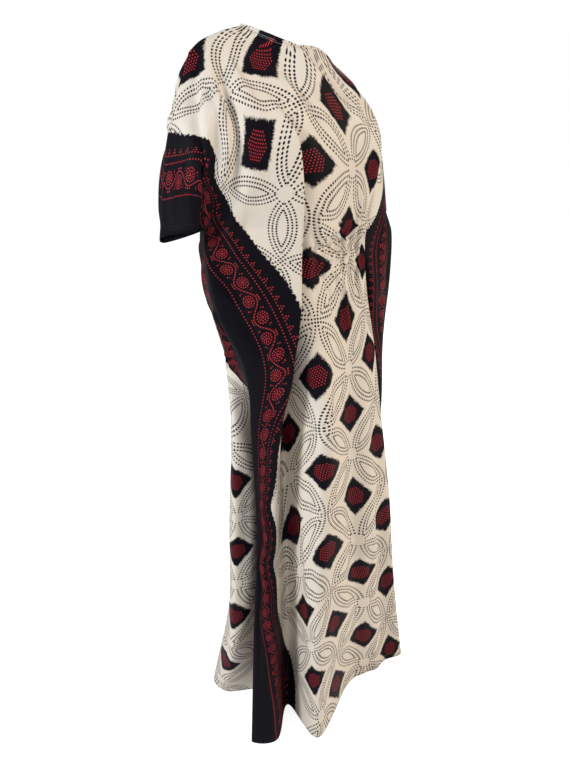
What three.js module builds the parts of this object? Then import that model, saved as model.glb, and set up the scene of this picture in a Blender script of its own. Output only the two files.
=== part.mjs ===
// A floor-length loose dress cut as one wide rectangle folded at the shoulders, open on its wearer's form.
// Millimetres, +Z up, the front faces -Y, the wearer's left is +X, and the origin lies between the shoulders.
import * as THREE from "three";

const SHOULDER_HEIGHT = 1420; // shoulder line above the hem
const WALL = 1.6; // cloth wall
const SEAM_GAP = 0.3; // between two walls that are sewn together
const BINDING_HEIGHT = 8; // strip round the neck, beyond the panels' edge
const BINDING_WALL = 2.2;
const BINDING_GAP = 0.5; // between the binding and the panels
const SEAM_ROUND = 0.3; // how widely a wing turns at its side seam, as a share of the full curve
const CUFF_SECTION = 4; // section at which the sleeve openings lie
const WING_SECTION = 5; // section from which a wing turns fully at its seam
const WAIST_SECTION = 5; // section of the gathered line round the waist

// Fold lines that run from the shoulders down, from the middle of a panel to its side.
const LINES = ["centre", "princess", "ridge", "tuck", "edge", "crease", "sleeve", "arm"];
const RIDGE = LINES.indexOf("ridge");
const CREASE = LINES.indexOf("crease");
const ARM = LINES.indexOf("arm");

// Each row is a section: its level above the hem, then x, y (and z where it leaves the level) of each line.
const FRONT_RIGHT = [
  [1410, [0, -50, 1387], [-62, -36, 1392], [-100, 30, 1420], [-130, 31, 1412], [-152, 31, 1403],
    [-171, 30, 1395], [-187, 29, 1386], [-205, 26, 1372]],
  [1335, [2, -80], [-50, -80], [-98, -66], [-130, -54], [-152, -43, 1334], [-178, -34, 1327], [-206, -22, 1318],
    [-236, 22, 1310]],
  [1262, [8, -108], [-50, -114], [-106, -104], [-120, -104], [-133, -117], [-212, -58], [-240, -46],
    [-254, 16]],
  [1190, [9, -113], [-46, -122], [-104, -110], [-134, -92], [-122, -131], [-226, -54], [-256, -48], [-272, 14]],
  [1120, [4, -108], [-44, -116], [-98, -106], [-150, -70], [-120, -131], [-236, -30], [-262, -44],
    [-286, 10, 1110]],
  [1075, [1, -98], [-42, -104], [-94, -101], [-172, -42], [-120, -130], [-236, -32]],
  [980, [0, -112], [-44, -120], [-97, -114], [-166, -40], [-122, -131], [-218, -36]],
  [880, [8, -128], [-40, -136], [-96, -134], [-112, -36], [-133, -124], [-180, -56]],
  [750, [18, -144], [-34, -152], [-92, -156], [-88, -50], [-146, -104], [-168, -52]],
  [520, [48, -142], [-16, -150], [-92, -160], [-74, -50], [-134, -78], [-154, -46]],
  [270, [92, -138], [16, -144], [-98, -164], [-72, -54], [-148, -86], [-176, -54]],
  [0, [115, -134], [40, -128], [-90, -168], [-78, -60], [-158, -106], [-202, -68]],
];
const FRONT_LEFT = [
  [1410, [0, -50, 1387], [52, -34, 1378], [94, 32, 1404], [122, 38, 1397], [142, 40, 1388], [162, 41, 1377],
    [180, 42, 1364], [200, 42, 1348]],
  [1335, [2, -80], [50, -80], [88, -62], [112, -44], [132, -36, 1330], [152, -24, 1318], [178, -4, 1305],
    [214, 24, 1288]],
  [1262, [8, -108], [56, -113], [94, -106], [136, -62], [156, -60], [186, -42], [208, -20], [234, 26]],
  [1190, [9, -113], [54, -116], [92, -106], [130, -44], [148, -70], [210, -42], [236, -18], [258, 28]],
  [1120, [4, -108], [48, -109], [84, -100], [136, -28], [146, -64], [248, -26], [270, -2], [282, 34, 1110]],
  [1075, [1, -98], [44, -101], [78, -97], [132, -26], [138, -62], [278, -22]],
  [980, [0, -112], [46, -115], [88, -107], [134, -34], [146, -80], [296, -12]],
  [880, [8, -128], [53, -131], [100, -121], [122, -40], [156, -84], [288, -12]],
  [750, [18, -144], [64, -143], [112, -134], [108, -32], [166, -96], [222, -48]],
  [520, [48, -142], [104, -139], [160, -141], [116, -38], [192, -84], [212, -44]],
  [270, [92, -138], [140, -134], [196, -149], [142, -42], [222, -86], [234, -48]],
  [0, [115, -134], [172, -146], [246, -160], [172, -52], [256, -94], [274, -56]],
];
const BACK_RIGHT = [
  [1410, [0, 66, 1409], [-62, 60, 1412], [-100, 30, 1420], [-130, 31, 1412], [-152, 31, 1403], [-171, 30, 1395],
    [-187, 29, 1386], [-205, 26, 1372]],
  [1335, [0, 84], [-52, 89], [-105, 86], [-142, 78], [-160, 72, 1334], [-184, 62, 1327], [-210, 48, 1318],
    [-236, 22, 1310]],
  [1262, [0, 86], [-52, 97], [-110, 92], [-160, 52], [-140, 98], [-204, 72], [-230, 50], [-254, 16]],
  [1190, [0, 80], [-50, 92], [-104, 88], [-176, 30], [-134, 102], [-216, 62], [-248, 52], [-272, 14]],
  [1120, [0, 72], [-48, 83], [-98, 82], [-180, 14], [-130, 102], [-236, -30], [-254, 52, 1094],
    [-286, 10, 1110]],
  [1075, [0, 68], [-46, 79], [-96, 80], [-182, 12], [-132, 104], [-236, -32]],
  [980, [0, 86], [-48, 97], [-100, 94], [-166, 16], [-138, 98], [-218, -36]],
  [880, [8, 104], [-40, 103], [-92, 90], [-134, 60], [-158, 20], [-180, -56]],
  [750, [18, 112], [-30, 108], [-86, 86], [-172, -6], [-84, -16], [-168, -52]],
  [520, [30, 118], [-22, 113], [-94, 98], [-178, -2], [-76, -14], [-154, -46]],
  [270, [40, 124], [-20, 120], [-100, 106], [-184, 4], [-78, -12], [-176, -54]],
  [0, [40, 142], [-50, 146], [-150, 130], [-158, 74], [-96, 8], [-202, -68]],
];
const BACK_LEFT = [
  [1410, [0, 66, 1409], [60, 62, 1406], [94, 32, 1404], [122, 38, 1397], [142, 40, 1388], [162, 41, 1377],
    [180, 42, 1364], [200, 42, 1348]],
  [1335, [0, 84], [52, 89], [100, 88], [134, 84], [150, 78, 1330], [170, 70, 1318], [192, 56, 1305],
    [214, 24, 1288]],
  [1262, [0, 86], [52, 97], [108, 93], [152, 56], [136, 100], [192, 86], [214, 66], [234, 26]],
  [1190, [0, 80], [50, 92], [102, 88], [162, 34], [132, 102], [206, 76], [234, 64], [258, 28]],
  [1120, [0, 72], [48, 83], [96, 82], [160, 16], [132, 102], [248, -26], [254, 62, 1094], [282, 34, 1110]],
  [1075, [0, 68], [46, 79], [94, 80], [158, 14], [134, 102], [278, -22]],
  [980, [0, 86], [48, 97], [98, 93], [150, 20], [140, 94], [296, -12]],
  [880, [8, 104], [56, 102], [108, 88], [146, 62], [190, 30], [288, -12]],
  [750, [18, 112], [66, 107], [122, 84], [190, 2], [104, -2], [222, -48]],
  [520, [30, 118], [86, 114], [142, 92], [208, 4], [114, -6], [212, -44]],
  [270, [40, 124], [102, 122], [162, 102], [232, 8], [136, -4], [234, -48]],
  [0, [40, 142], [124, 150], [196, 122], [242, 52], [160, 4], [274, -56]],
];

// Soft folds on top of the sections: place in lines from the middle (right is negative), width in lines,
// rise outward, and the levels where it starts, is highest and ends.
const FRONT_FOLDS = [
  { at: -1.78, width: 0.13, rise: 5, top: 1150, peak: 1075, foot: 960 },
  { at: -1.33, width: 0.13, rise: 6, top: 1130, peak: 1072, foot: 980 },
  { at: -0.89, width: 0.13, rise: 4, top: 1140, peak: 1075, foot: 930 },
  { at: -0.44, width: 0.13, rise: 6, top: 1130, peak: 1078, foot: 990 },
  { at: 0, width: 0.13, rise: 5, top: 1125, peak: 1074, foot: 950 },
  { at: 0.44, width: 0.13, rise: 6, top: 1160, peak: 1075, foot: 980 },
  { at: 0.89, width: 0.13, rise: 5, top: 1130, peak: 1071, foot: 940 },
  { at: 1.33, width: 0.13, rise: 7, top: 1170, peak: 1077, foot: 990 },
  { at: 1.78, width: 0.13, rise: 6, top: 1150, peak: 1075, foot: 960 },
  { at: -1.2, width: 0.35, rise: 7, top: 860, peak: 300, foot: -700 },
  { at: -0.3, width: 0.3, rise: -6, top: 900, peak: 250, foot: -900 },
  { at: 0.75, width: 0.32, rise: 7, top: 820, peak: 280, foot: -800 },
  { at: 1.3, width: 0.25, rise: -6, top: 700, peak: 150, foot: -900 },
];
const BACK_FOLDS = [
  { at: -1.67, width: 0.2, rise: 5, top: 1150, peak: 1075, foot: 950 },
  { at: -1, width: 0.2, rise: 6, top: 1130, peak: 1072, foot: 970 },
  { at: -0.33, width: 0.2, rise: 5, top: 1140, peak: 1076, foot: 940 },
  { at: 0.33, width: 0.2, rise: 6, top: 1130, peak: 1074, foot: 980 },
  { at: 1, width: 0.2, rise: 5, top: 1145, peak: 1075, foot: 950 },
  { at: 1.67, width: 0.2, rise: 6, top: 1135, peak: 1073, foot: 960 },
  { at: -1.4, width: 0.3, rise: 12, top: 900, peak: 100, foot: -900 },
  { at: -0.6, width: 0.3, rise: -10, top: 880, peak: 120, foot: -900 },
  { at: 0.1, width: 0.3, rise: 12, top: 920, peak: 80, foot: -900 },
  { at: 0.8, width: 0.3, rise: -10, top: 860, peak: 100, foot: -900 },
  { at: 1.5, width: 0.3, rise: 11, top: 900, peak: 120, foot: -900 },
];

const ROW_STEPS = [3, 3, 2, 2, 2, 3, 2, 2, 2, 2, 2]; // wall rows between two sections
const FRONT_STEPS = [9, 9, 3, 3, 4, 2, 3]; // wall columns between two lines
const BACK_STEPS = [6, 6, 3, 3, 4, 2, 3];

const CLOTH = new THREE.MeshStandardMaterial({ color: 0xe9e2d6, roughness: 0.55, metalness: 0 });
const BACK_CLOTH = new THREE.MeshStandardMaterial({ color: 0xe4dccf, roughness: 0.55, metalness: 0 });
const BINDING_CLOTH = new THREE.MeshStandardMaterial({ color: 0xf1ebe2, roughness: 0.6, metalness: 0 });

/** Point of one line at one section, with the height measured from the shoulder line. */
function knot(table, line, section) {
  const [level, ...cells] = table[section];
  const [x, y, z = level] = cells[line];
  return new THREE.Vector3(x, y, z - SHOULDER_HEIGHT);
}

/** Last section that a line reaches: the sleeve lines end at the cuff. */
function lastSection(table, line) {
  return line > CREASE ? CUFF_SECTION : table.length - 1;
}

/** Slope of a line at a section for the run above or below it; a crease breaks at the sleeve opening. */
function lineSlope(table, line, section, below) {
  const broken = line === CREASE && section === CUFF_SECTION;
  const before = broken && below ? section : Math.max(section - 1, 0);
  const after = broken && !below ? section : Math.min(section + 1, lastSection(table, line));
  const run = table[after][0] - table[before][0];
  return knot(table, line, after).sub(knot(table, line, before)).divideScalar(run);
}

/** Cubic through two points with their slopes, at share t. */
function hermite(start, startSlope, end, endSlope, t) {
  const t2 = t * t;
  const t3 = t2 * t;
  return new THREE.Vector3()
    .addScaledVector(start, 2 * t3 - 3 * t2 + 1)
    .addScaledVector(startSlope, t3 - 2 * t2 + t)
    .addScaledVector(end, 3 * t2 - 2 * t3)
    .addScaledVector(endSlope, t3 - t2);
}

/** Point of a line at a row, which lies at a share between two sections. */
function linePoint(table, line, row) {
  const { section, share } = row;
  if (share === 0) {
    return knot(table, line, section);
  }
  const run = table[section + 1][0] - table[section][0];
  const startSlope = lineSlope(table, line, section, true).multiplyScalar(run);
  const endSlope = lineSlope(table, line, section + 1, false).multiplyScalar(run);
  return hermite(knot(table, line, section), startSlope, knot(table, line, section + 1), endSlope, share);
}

/** Smooth step from 0 to 1. */
function ease(t) {
  const s = Math.min(Math.max(t, 0), 1);
  return s * s * (3 - 2 * s);
}

/** How far a row is below the cuff, from 0 at the cuff to 1 where the wings turn fully. */
function belowCuff(row) {
  return ease((row.section + row.share - CUFF_SECTION) / (WING_SECTION - CUFF_SECTION));
}

/** Slope across a crease: outward at the cuff, turning round the side seam below it. */
function creaseSlope(point, before, slope, row) {
  const open = point.clone().sub(before).multiplyScalar(0.5);
  return open.lerp(slope.multiplyScalar(SEAM_ROUND), belowCuff(row));
}

/** Slopes across the lines of one side at one row, given the points beyond its middle and its side. */
function crossSlopes(points, beyondMiddle, beyondSide, row) {
  const last = points.length - 1;
  return points.map((point, line) => {
    const before = line === 0 ? beyondMiddle : points[line - 1];
    const after = line === last ? beyondSide : points[line + 1];
    const slope = after.clone().sub(before).multiplyScalar(0.5);
    return line === CREASE && line === last ? creaseSlope(point, before, slope, row) : slope;
  });
}

/** Point between two lines; the top row has a corner where the neck edge meets the shoulder. */
function crossPoint(lines, slopes, line, share, row) {
  const top = row.section === 0 && row.share === 0;
  const straight = lines[line + 1].clone().sub(lines[line]);
  const startSlope = top && line === RIDGE ? straight : slopes[line];
  const endSlope = top && line + 1 === RIDGE ? straight : slopes[line + 1];
  return hermite(lines[line], startSlope, lines[line + 1], endSlope, share);
}

/** Rows of the whole dress, from the shoulder line to the hem. */
function allRows(table) {
  const rows = [];
  ROW_STEPS.forEach((steps, section) => {
    for (let i = 0; i < steps; i += 1) {
      rows.push({ section, share: i / steps });
    }
  });
  rows.push({ section: table.length - 1, share: 0 });
  return rows;
}

/** Level of a row above the hem. */
function rowLevel(table, row) {
  const next = table[Math.min(row.section + 1, table.length - 1)];
  return THREE.MathUtils.lerp(table[row.section][0], next[0], row.share);
}

/** Points of one side of a panel at one row, from the middle to the side. */
function sidePoints(side, other, opposite, row, steps) {
  const open = row.section < CUFF_SECTION || (row.section === CUFF_SECTION && row.share === 0);
  const last = open ? ARM : CREASE;
  const lines = LINES.slice(0, last + 1).map((_, line) => linePoint(side, line, row));
  const slopes = crossSlopes(lines, linePoint(other, 1, row), linePoint(opposite, last - 1, row), row);
  const points = [];
  for (let line = 0; line < last; line += 1) {
    for (let i = 0; i < steps[line]; i += 1) {
      const share = i / steps[line];
      points.push({ place: line + share, point: crossPoint(lines, slopes, line, share, row) });
    }
  }
  points.push({ place: last, point: lines[last] });
  return points;
}

/** One row of a panel from its right side to its left, with each point's place in lines. */
function panelRow(right, left, oppositeRight, oppositeLeft, row, steps) {
  const rightSide = sidePoints(right, left, oppositeRight, row, steps);
  const leftSide = sidePoints(left, right, oppositeLeft, row, steps);
  const mirrored = rightSide.slice(1).reverse().map(({ place, point }) => ({ place: -place, point }));
  return [...mirrored, ...leftSide];
}

/** Rise of the soft folds at a place and level. */
function foldRise(folds, place, level) {
  return folds.reduce((sum, fold) => {
    const across = Math.exp(-(((place - fold.at) / fold.width) ** 2));
    const down = level > fold.peak
      ? ease((fold.top - level) / (fold.top - fold.peak))
      : ease((level - fold.foot) / (fold.peak - fold.foot));
    return sum + fold.rise * across * down;
  }, 0);
}

/** Grid of a panel: rows of cells with a place and a point. */
function panelGrid(right, left, oppositeRight, oppositeLeft, steps) {
  return allRows(right).map((row) => ({
    level: rowLevel(right, row),
    cells: panelRow(right, left, oppositeRight, oppositeLeft, row, steps),
  }));
}

/** Faces of a grid as triples of [row, column]; below the cuff a row is shorter by its sleeve columns. */
function gridFaces(grid, steps, flip) {
  const full = grid[0].cells.length;
  const sleeve = steps.slice(CREASE).reduce((sum, count) => sum + count, 0);
  const faces = [];
  for (let r = 0; r + 1 < grid.length; r += 1) {
    const above = (full - grid[r].cells.length) / 2;
    const below = (full - grid[r + 1].cells.length) / 2;
    const skip = below > 0 ? sleeve : 0;
    for (let c = skip; c + 1 < full - skip; c += 1) {
      const a = [r, c - above];
      const b = [r, c + 1 - above];
      const d = [r + 1, c - below];
      const e = [r + 1, c + 1 - below];
      faces.push(...(flip ? [[a, b, e], [a, e, d]] : [[a, e, b], [a, d, e]]));
    }
  }
  return faces;
}

/** Key of a point, alike for the points that two panels share at a seam. */
function pointKey(point) {
  return [point.x, point.y, point.z].map((value) => Math.round(value * 100)).join("_");
}

/** Outward unit normals at the points of one panel. */
function panelNormals({ grid, faces }) {
  const normals = new Map();
  faces.forEach((face) => {
    const [p, q, s] = face.map(([r, c]) => grid[r].cells[c].point);
    const normal = q.clone().sub(p).cross(s.clone().sub(p));
    [p, q, s].forEach((point) => {
      const key = pointKey(point);
      normals.set(key, (normals.get(key) ?? new THREE.Vector3()).add(normal));
    });
  });
  normals.forEach((normal) => normal.normalize());
  return normals;
}

/** Unit normals of all the panels, halfway between the two at a seam. */
function sharedNormals(panels) {
  const shared = new Map();
  panels.forEach((panel) => {
    panelNormals(panel).forEach((normal, key) => {
      shared.set(key, (shared.get(key) ?? new THREE.Vector3()).add(normal));
    });
  });
  shared.forEach((normal) => normal.normalize());
  return shared;
}

/** Raises the soft folds on a panel's points, away from its edges. */
function raiseFolds(panel, folds) {
  const normals = panelNormals(panel);
  panel.grid.forEach(({ level, cells }, r) => {
    cells.forEach((cell) => {
      if (r > 0 && Math.abs(cell.place) < CREASE) {
        const rise = foldRise(folds, cell.place, level);
        cell.point = cell.point.clone().addScaledVector(normals.get(pointKey(cell.point)), rise);
      }
    });
  });
}

/** The neighbour across a row that a cell on a side seam draws back towards. */
function sideNeighbour(grid, r, c) {
  const { cells } = grid[r];
  const last = cells.length - 1;
  const atCuff = grid[r + 1] && grid[r + 1].cells.length < cells.length;
  if (c === 0 || c === last) {
    return cells[c === 0 ? 1 : last - 1].point;
  }
  if (atCuff && Math.abs(cells[c].place) === CREASE) {
    return cells[c - Math.sign(cells[c].place)].point;
  }
  return null;
}

/** The neighbour down or up that a cell at the neck, or at the end of a piece, draws back towards. */
function rowNeighbour(grid, r, c, span) {
  if (r === 0 || r === span.from) {
    return r === 0 && sideNeighbour(grid, r, c) ? null : grid[r + 1].cells[c].point;
  }
  return r === span.to && r + 1 < grid.length ? grid[r - 1].cells[c].point : null;
}

/** The neighbour that a cell on the middle line draws back towards, in a piece that ends there. */
function middleNeighbour(grid, r, c, span) {
  return span.side !== 0 && grid[r].cells[c].place === 0 ? grid[r].cells[c + span.side].point : null;
}

/** Point drawn back from its seams by half the gap, square to its normal. */
function drawnBack(grid, r, c, normal, span) {
  const drawn = grid[r].cells[c].point.clone();
  const neighbours = [sideNeighbour(grid, r, c), rowNeighbour(grid, r, c, span), middleNeighbour(grid, r, c, span)];
  neighbours.filter(Boolean).forEach((neighbour) => {
    const inward = neighbour.clone().sub(grid[r].cells[c].point);
    inward.addScaledVector(normal, -inward.dot(normal)).normalize();
    drawn.addScaledVector(inward, SEAM_GAP * 0.75);
  });
  return drawn;
}

/** Directed edges that only one face has, which are the rim of a surface. */
function rimEdges(faces) {
  const edges = new Map();
  faces.forEach((face) => {
    face.forEach((from, i) => {
      const to = face[(i + 1) % 3];
      edges.set(`${from.join(",")}>${to.join(",")}`, [from, to]);
    });
  });
  return [...edges.values()].filter(([from, to]) => !edges.has(`${to.join(",")}>${from.join(",")}`));
}

/** Closed geometry from triangles of points. */
function solidFrom(triangles) {
  const geometry = new THREE.BufferGeometry();
  const numbers = triangles.flatMap((triangle) => triangle.flatMap((point) => [point.x, point.y, point.z]));
  geometry.setAttribute("position", new THREE.Float32BufferAttribute(numbers, 3));
  geometry.computeVertexNormals();
  return geometry;
}

/** Wall of the part of a panel within a span of rows and on its side of the middle, closed along the rim. */
function panelWall({ grid, faces }, normals, span) {
  const within = (r, c) => r >= span.from && r <= span.to && grid[r].cells[c].place * span.side >= 0;
  const shifted = (out) => grid.map(({ cells }, r) => cells.map((cell, c) => {
    const normal = normals.get(pointKey(cell.point));
    return within(r, c) && drawnBack(grid, r, c, normal, span).addScaledVector(normal, out * WALL / 2);
  }));
  const outer = shifted(1);
  const inner = shifted(-1);
  const at = (layer, [r, c]) => layer[r][c];
  const own = faces.filter((face) => face.every(([r, c]) => within(r, c)));
  const triangles = [];
  own.forEach(([p, q, s]) => {
    triangles.push([at(outer, p), at(outer, q), at(outer, s)]);
    triangles.push([at(inner, p), at(inner, s), at(inner, q)]);
  });
  rimEdges(own).forEach(([from, to]) => {
    triangles.push([at(outer, to), at(outer, from), at(inner, from)]);
    triangles.push([at(outer, to), at(inner, from), at(inner, to)]);
  });
  return solidFrom(triangles);
}

/** Loop of the neck edge: along the front from right to left, then back along the back. */
function neckLoop(front, back) {
  const neckCells = (panel) => panel.grid[0].cells.filter(({ place }) => Math.abs(place) <= RIDGE);
  const frontPoints = neckCells(front).map(({ point }) => point);
  const backPoints = neckCells(back).map(({ point }) => point).reverse();
  return [...frontPoints, ...backPoints.slice(1, -1)];
}

/** Closed ring of a four-cornered section for each point of a loop. */
function ringSolid(sections) {
  const triangles = [];
  sections.forEach((section, i) => {
    const next = sections[(i + 1) % sections.length];
    section.forEach((corner, k) => {
      const m = (k + 1) % section.length;
      triangles.push([corner, next[k], next[m]]);
      triangles.push([corner, next[m], section[m]]);
    });
  });
  return solidFrom(triangles);
}

/** Binding: a strip that carries the cloth on past the neck edge. */
function neckBinding(front, back, normals) {
  const loop = neckLoop(front, back);
  const sections = loop.map((point, i) => {
    const normal = normals.get(pointKey(point));
    const tangent = loop[(i + 1) % loop.length].clone().sub(loop[(i + loop.length - 1) % loop.length]);
    const rise = normal.clone().cross(tangent).normalize();
    const corner = (up, out) => point.clone().addScaledVector(rise, up).addScaledVector(normal, out);
    const low = BINDING_GAP;
    const high = BINDING_GAP + BINDING_HEIGHT;
    const half = BINDING_WALL / 2;
    return [corner(low, half), corner(high, half), corner(high, -half), corner(low, -half)];
  });
  return ringSolid(sections);
}

/** Named mesh of a geometry. */
function named(name, geometry, material) {
  const mesh = new THREE.Mesh(geometry, material);
  mesh.name = name;
  return mesh;
}

/** The dress: front and back, each in two halves above the gathered waist line and whole below, and the binding. */
function buildDress() {
  const frontGrid = panelGrid(FRONT_RIGHT, FRONT_LEFT, BACK_RIGHT, BACK_LEFT, FRONT_STEPS);
  const backGrid = panelGrid(BACK_RIGHT, BACK_LEFT, FRONT_RIGHT, FRONT_LEFT, BACK_STEPS);
  const front = { grid: frontGrid, faces: gridFaces(frontGrid, FRONT_STEPS, false) };
  const back = { grid: backGrid, faces: gridFaces(backGrid, BACK_STEPS, true) };
  raiseFolds(front, FRONT_FOLDS);
  raiseFolds(back, BACK_FOLDS);
  const normals = sharedNormals([front, back]);
  const waist = ROW_STEPS.slice(0, WAIST_SECTION).reduce((sum, steps) => sum + steps, 0);
  const spans = {
    bodice_right: { from: 0, to: waist, side: -1 },
    bodice_left: { from: 0, to: waist, side: 1 },
    skirt: { from: waist, to: frontGrid.length - 1, side: 0 },
  };
  const group = new THREE.Group();
  Object.entries(spans).forEach(([part, span]) => {
    group.add(named(`front_${part}`, panelWall(front, normals, span), CLOTH));
    group.add(named(`back_${part}`, panelWall(back, normals, span), BACK_CLOTH));
  });
  group.add(named("neck_binding", neckBinding(front, back, normals), BINDING_CLOTH));
  return group;
}

export default buildDress();
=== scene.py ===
"""A floor-length loose dress in printed cloth, kept in its worn, hollow form.

Lengths are metres, +Z is up, the front faces -Y and the wearer's left is +X. The origin lies between the
shoulders, level with the shoulder line.
"""

from __future__ import annotations

import logging
import math
from dataclasses import dataclass, field
from enum import Enum
from typing import ClassVar

import bpy
import numpy as np
from mathutils import Matrix, Vector

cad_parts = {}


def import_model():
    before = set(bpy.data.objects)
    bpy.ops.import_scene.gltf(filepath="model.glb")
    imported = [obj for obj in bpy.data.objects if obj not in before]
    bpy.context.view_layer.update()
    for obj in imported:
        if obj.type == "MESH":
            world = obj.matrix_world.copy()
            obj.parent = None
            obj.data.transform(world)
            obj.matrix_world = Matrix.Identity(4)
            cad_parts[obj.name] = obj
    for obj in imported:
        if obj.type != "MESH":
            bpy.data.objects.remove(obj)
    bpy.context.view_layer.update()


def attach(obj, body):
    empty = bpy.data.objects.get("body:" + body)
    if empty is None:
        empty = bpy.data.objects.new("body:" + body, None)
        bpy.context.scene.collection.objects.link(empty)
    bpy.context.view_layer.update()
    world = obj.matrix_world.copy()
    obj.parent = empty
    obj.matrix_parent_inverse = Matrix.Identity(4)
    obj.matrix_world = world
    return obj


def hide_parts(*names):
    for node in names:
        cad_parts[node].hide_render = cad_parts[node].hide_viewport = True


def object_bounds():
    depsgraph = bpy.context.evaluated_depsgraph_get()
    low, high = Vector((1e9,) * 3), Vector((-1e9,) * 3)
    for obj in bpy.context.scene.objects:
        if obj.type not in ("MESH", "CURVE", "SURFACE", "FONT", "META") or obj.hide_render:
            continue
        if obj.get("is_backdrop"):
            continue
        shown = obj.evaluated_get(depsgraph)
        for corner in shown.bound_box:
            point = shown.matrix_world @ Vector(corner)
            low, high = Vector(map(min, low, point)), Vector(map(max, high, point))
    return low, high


LOG = logging.getLogger("dress")

MM = 0.001
SHOULDER_HEIGHT = 1.42
# Indices of the lines that edges and seams follow, and of the section at the sleeve ends.
RIDGE, CREASE, ARM = 2, 5, 7
CUFF_SECTION = 4
CUFF_LEVEL = 1120
SEAM_ROUND = 0.3
# Half the printed repeat, how far down the cloth its first opening lies, how far from the middle a border's
# inner edge lies, and the depths of the border's second and last dotted lines.
LATTICE = 0.093
FIRST_OPENING = 0.27
BORDER_START = 0.30
SECOND_ROW, LAST_ROW = 0.0425, 0.0945
SIDES = (-1, 1)

Knot = tuple[float, ...]
Section = tuple[float, tuple[Knot, ...]]
Spot = tuple[float, float]
Colour = tuple[float, float, float, float]

# Sections from the shoulders to the hem: level above the hem, then x, y (and z where it leaves the level) of
# the lines centre, princess, ridge, tuck, edge, crease, sleeve and arm, in millimetres.
FRONT_RIGHT: tuple[Section, ...] = (
    (1410, ((0, -50, 1387), (-62, -36, 1392), (-100, 30, 1420), (-130, 31, 1412), (-152, 31, 1403),
            (-171, 30, 1395), (-187, 29, 1386), (-205, 26, 1372))),
    (1335, ((2, -80), (-50, -80), (-98, -66), (-130, -54), (-152, -43, 1334), (-178, -34, 1327),
            (-206, -22, 1318), (-236, 22, 1310))),
    (1262, ((8, -108), (-50, -114), (-106, -104), (-120, -104), (-133, -117), (-212, -58), (-240, -46),
            (-254, 16))),
    (1190, ((9, -113), (-46, -122), (-104, -110), (-134, -92), (-122, -131), (-226, -54), (-256, -48),
            (-272, 14))),
    (1120, ((4, -108), (-44, -116), (-98, -106), (-150, -70), (-120, -131), (-236, -30), (-262, -44),
            (-286, 10, 1110))),
    (1075, ((1, -98), (-42, -104), (-94, -101), (-172, -42), (-120, -130), (-236, -32))),
    (980, ((0, -112), (-44, -120), (-97, -114), (-166, -40), (-122, -131), (-218, -36))),
    (880, ((8, -128), (-40, -136), (-96, -134), (-112, -36), (-133, -124), (-180, -56))),
    (750, ((18, -144), (-34, -152), (-92, -156), (-88, -50), (-146, -104), (-168, -52))),
    (520, ((48, -142), (-16, -150), (-92, -160), (-74, -50), (-134, -78), (-154, -46))),
    (270, ((92, -138), (16, -144), (-98, -164), (-72, -54), (-148, -86), (-176, -54))),
    (0, ((115, -134), (40, -128), (-90, -168), (-78, -60), (-158, -106), (-202, -68))),
)
FRONT_LEFT: tuple[Section, ...] = (
    (1410, ((0, -50, 1387), (52, -34, 1378), (94, 32, 1404), (122, 38, 1397), (142, 40, 1388),
            (162, 41, 1377), (180, 42, 1364), (200, 42, 1348))),
    (1335, ((2, -80), (50, -80), (88, -62), (112, -44), (132, -36, 1330), (152, -24, 1318), (178, -4, 1305),
            (214, 24, 1288))),
    (1262, ((8, -108), (56, -113), (94, -106), (136, -62), (156, -60), (186, -42), (208, -20), (234, 26))),
    (1190, ((9, -113), (54, -116), (92, -106), (130, -44), (148, -70), (210, -42), (236, -18), (258, 28))),
    (1120, ((4, -108), (48, -109), (84, -100), (136, -28), (146, -64), (248, -26), (270, -2),
            (282, 34, 1110))),
    (1075, ((1, -98), (44, -101), (78, -97), (132, -26), (138, -62), (278, -22))),
    (980, ((0, -112), (46, -115), (88, -107), (134, -34), (146, -80), (296, -12))),
    (880, ((8, -128), (53, -131), (100, -121), (122, -40), (156, -84), (288, -12))),
    (750, ((18, -144), (64, -143), (112, -134), (108, -32), (166, -96), (222, -48))),
    (520, ((48, -142), (104, -139), (160, -141), (116, -38), (192, -84), (212, -44))),
    (270, ((92, -138), (140, -134), (196, -149), (142, -42), (222, -86), (234, -48))),
    (0, ((115, -134), (172, -146), (246, -160), (172, -52), (256, -94), (274, -56))),
)
BACK_RIGHT: tuple[Section, ...] = (
    (1410, ((0, 66, 1409), (-62, 60, 1412), (-100, 30, 1420), (-130, 31, 1412), (-152, 31, 1403),
            (-171, 30, 1395), (-187, 29, 1386), (-205, 26, 1372))),
    (1335, ((0, 84), (-52, 89), (-105, 86), (-142, 78), (-160, 72, 1334), (-184, 62, 1327),
            (-210, 48, 1318), (-236, 22, 1310))),
    (1262, ((0, 86), (-52, 97), (-110, 92), (-160, 52), (-140, 98), (-204, 72), (-230, 50), (-254, 16))),
    (1190, ((0, 80), (-50, 92), (-104, 88), (-176, 30), (-134, 102), (-216, 62), (-248, 52), (-272, 14))),
    (1120, ((0, 72), (-48, 83), (-98, 82), (-180, 14), (-130, 102), (-236, -30), (-254, 52, 1094),
            (-286, 10, 1110))),
    (1075, ((0, 68), (-46, 79), (-96, 80), (-182, 12), (-132, 104), (-236, -32))),
    (980, ((0, 86), (-48, 97), (-100, 94), (-166, 16), (-138, 98), (-218, -36))),
    (880, ((8, 104), (-40, 103), (-92, 90), (-134, 60), (-158, 20), (-180, -56))),
    (750, ((18, 112), (-30, 108), (-86, 86), (-172, -6), (-84, -16), (-168, -52))),
    (520, ((30, 118), (-22, 113), (-94, 98), (-178, -2), (-76, -14), (-154, -46))),
    (270, ((40, 124), (-20, 120), (-100, 106), (-184, 4), (-78, -12), (-176, -54))),
    (0, ((40, 142), (-50, 146), (-150, 130), (-158, 74), (-96, 8), (-202, -68))),
)
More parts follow.
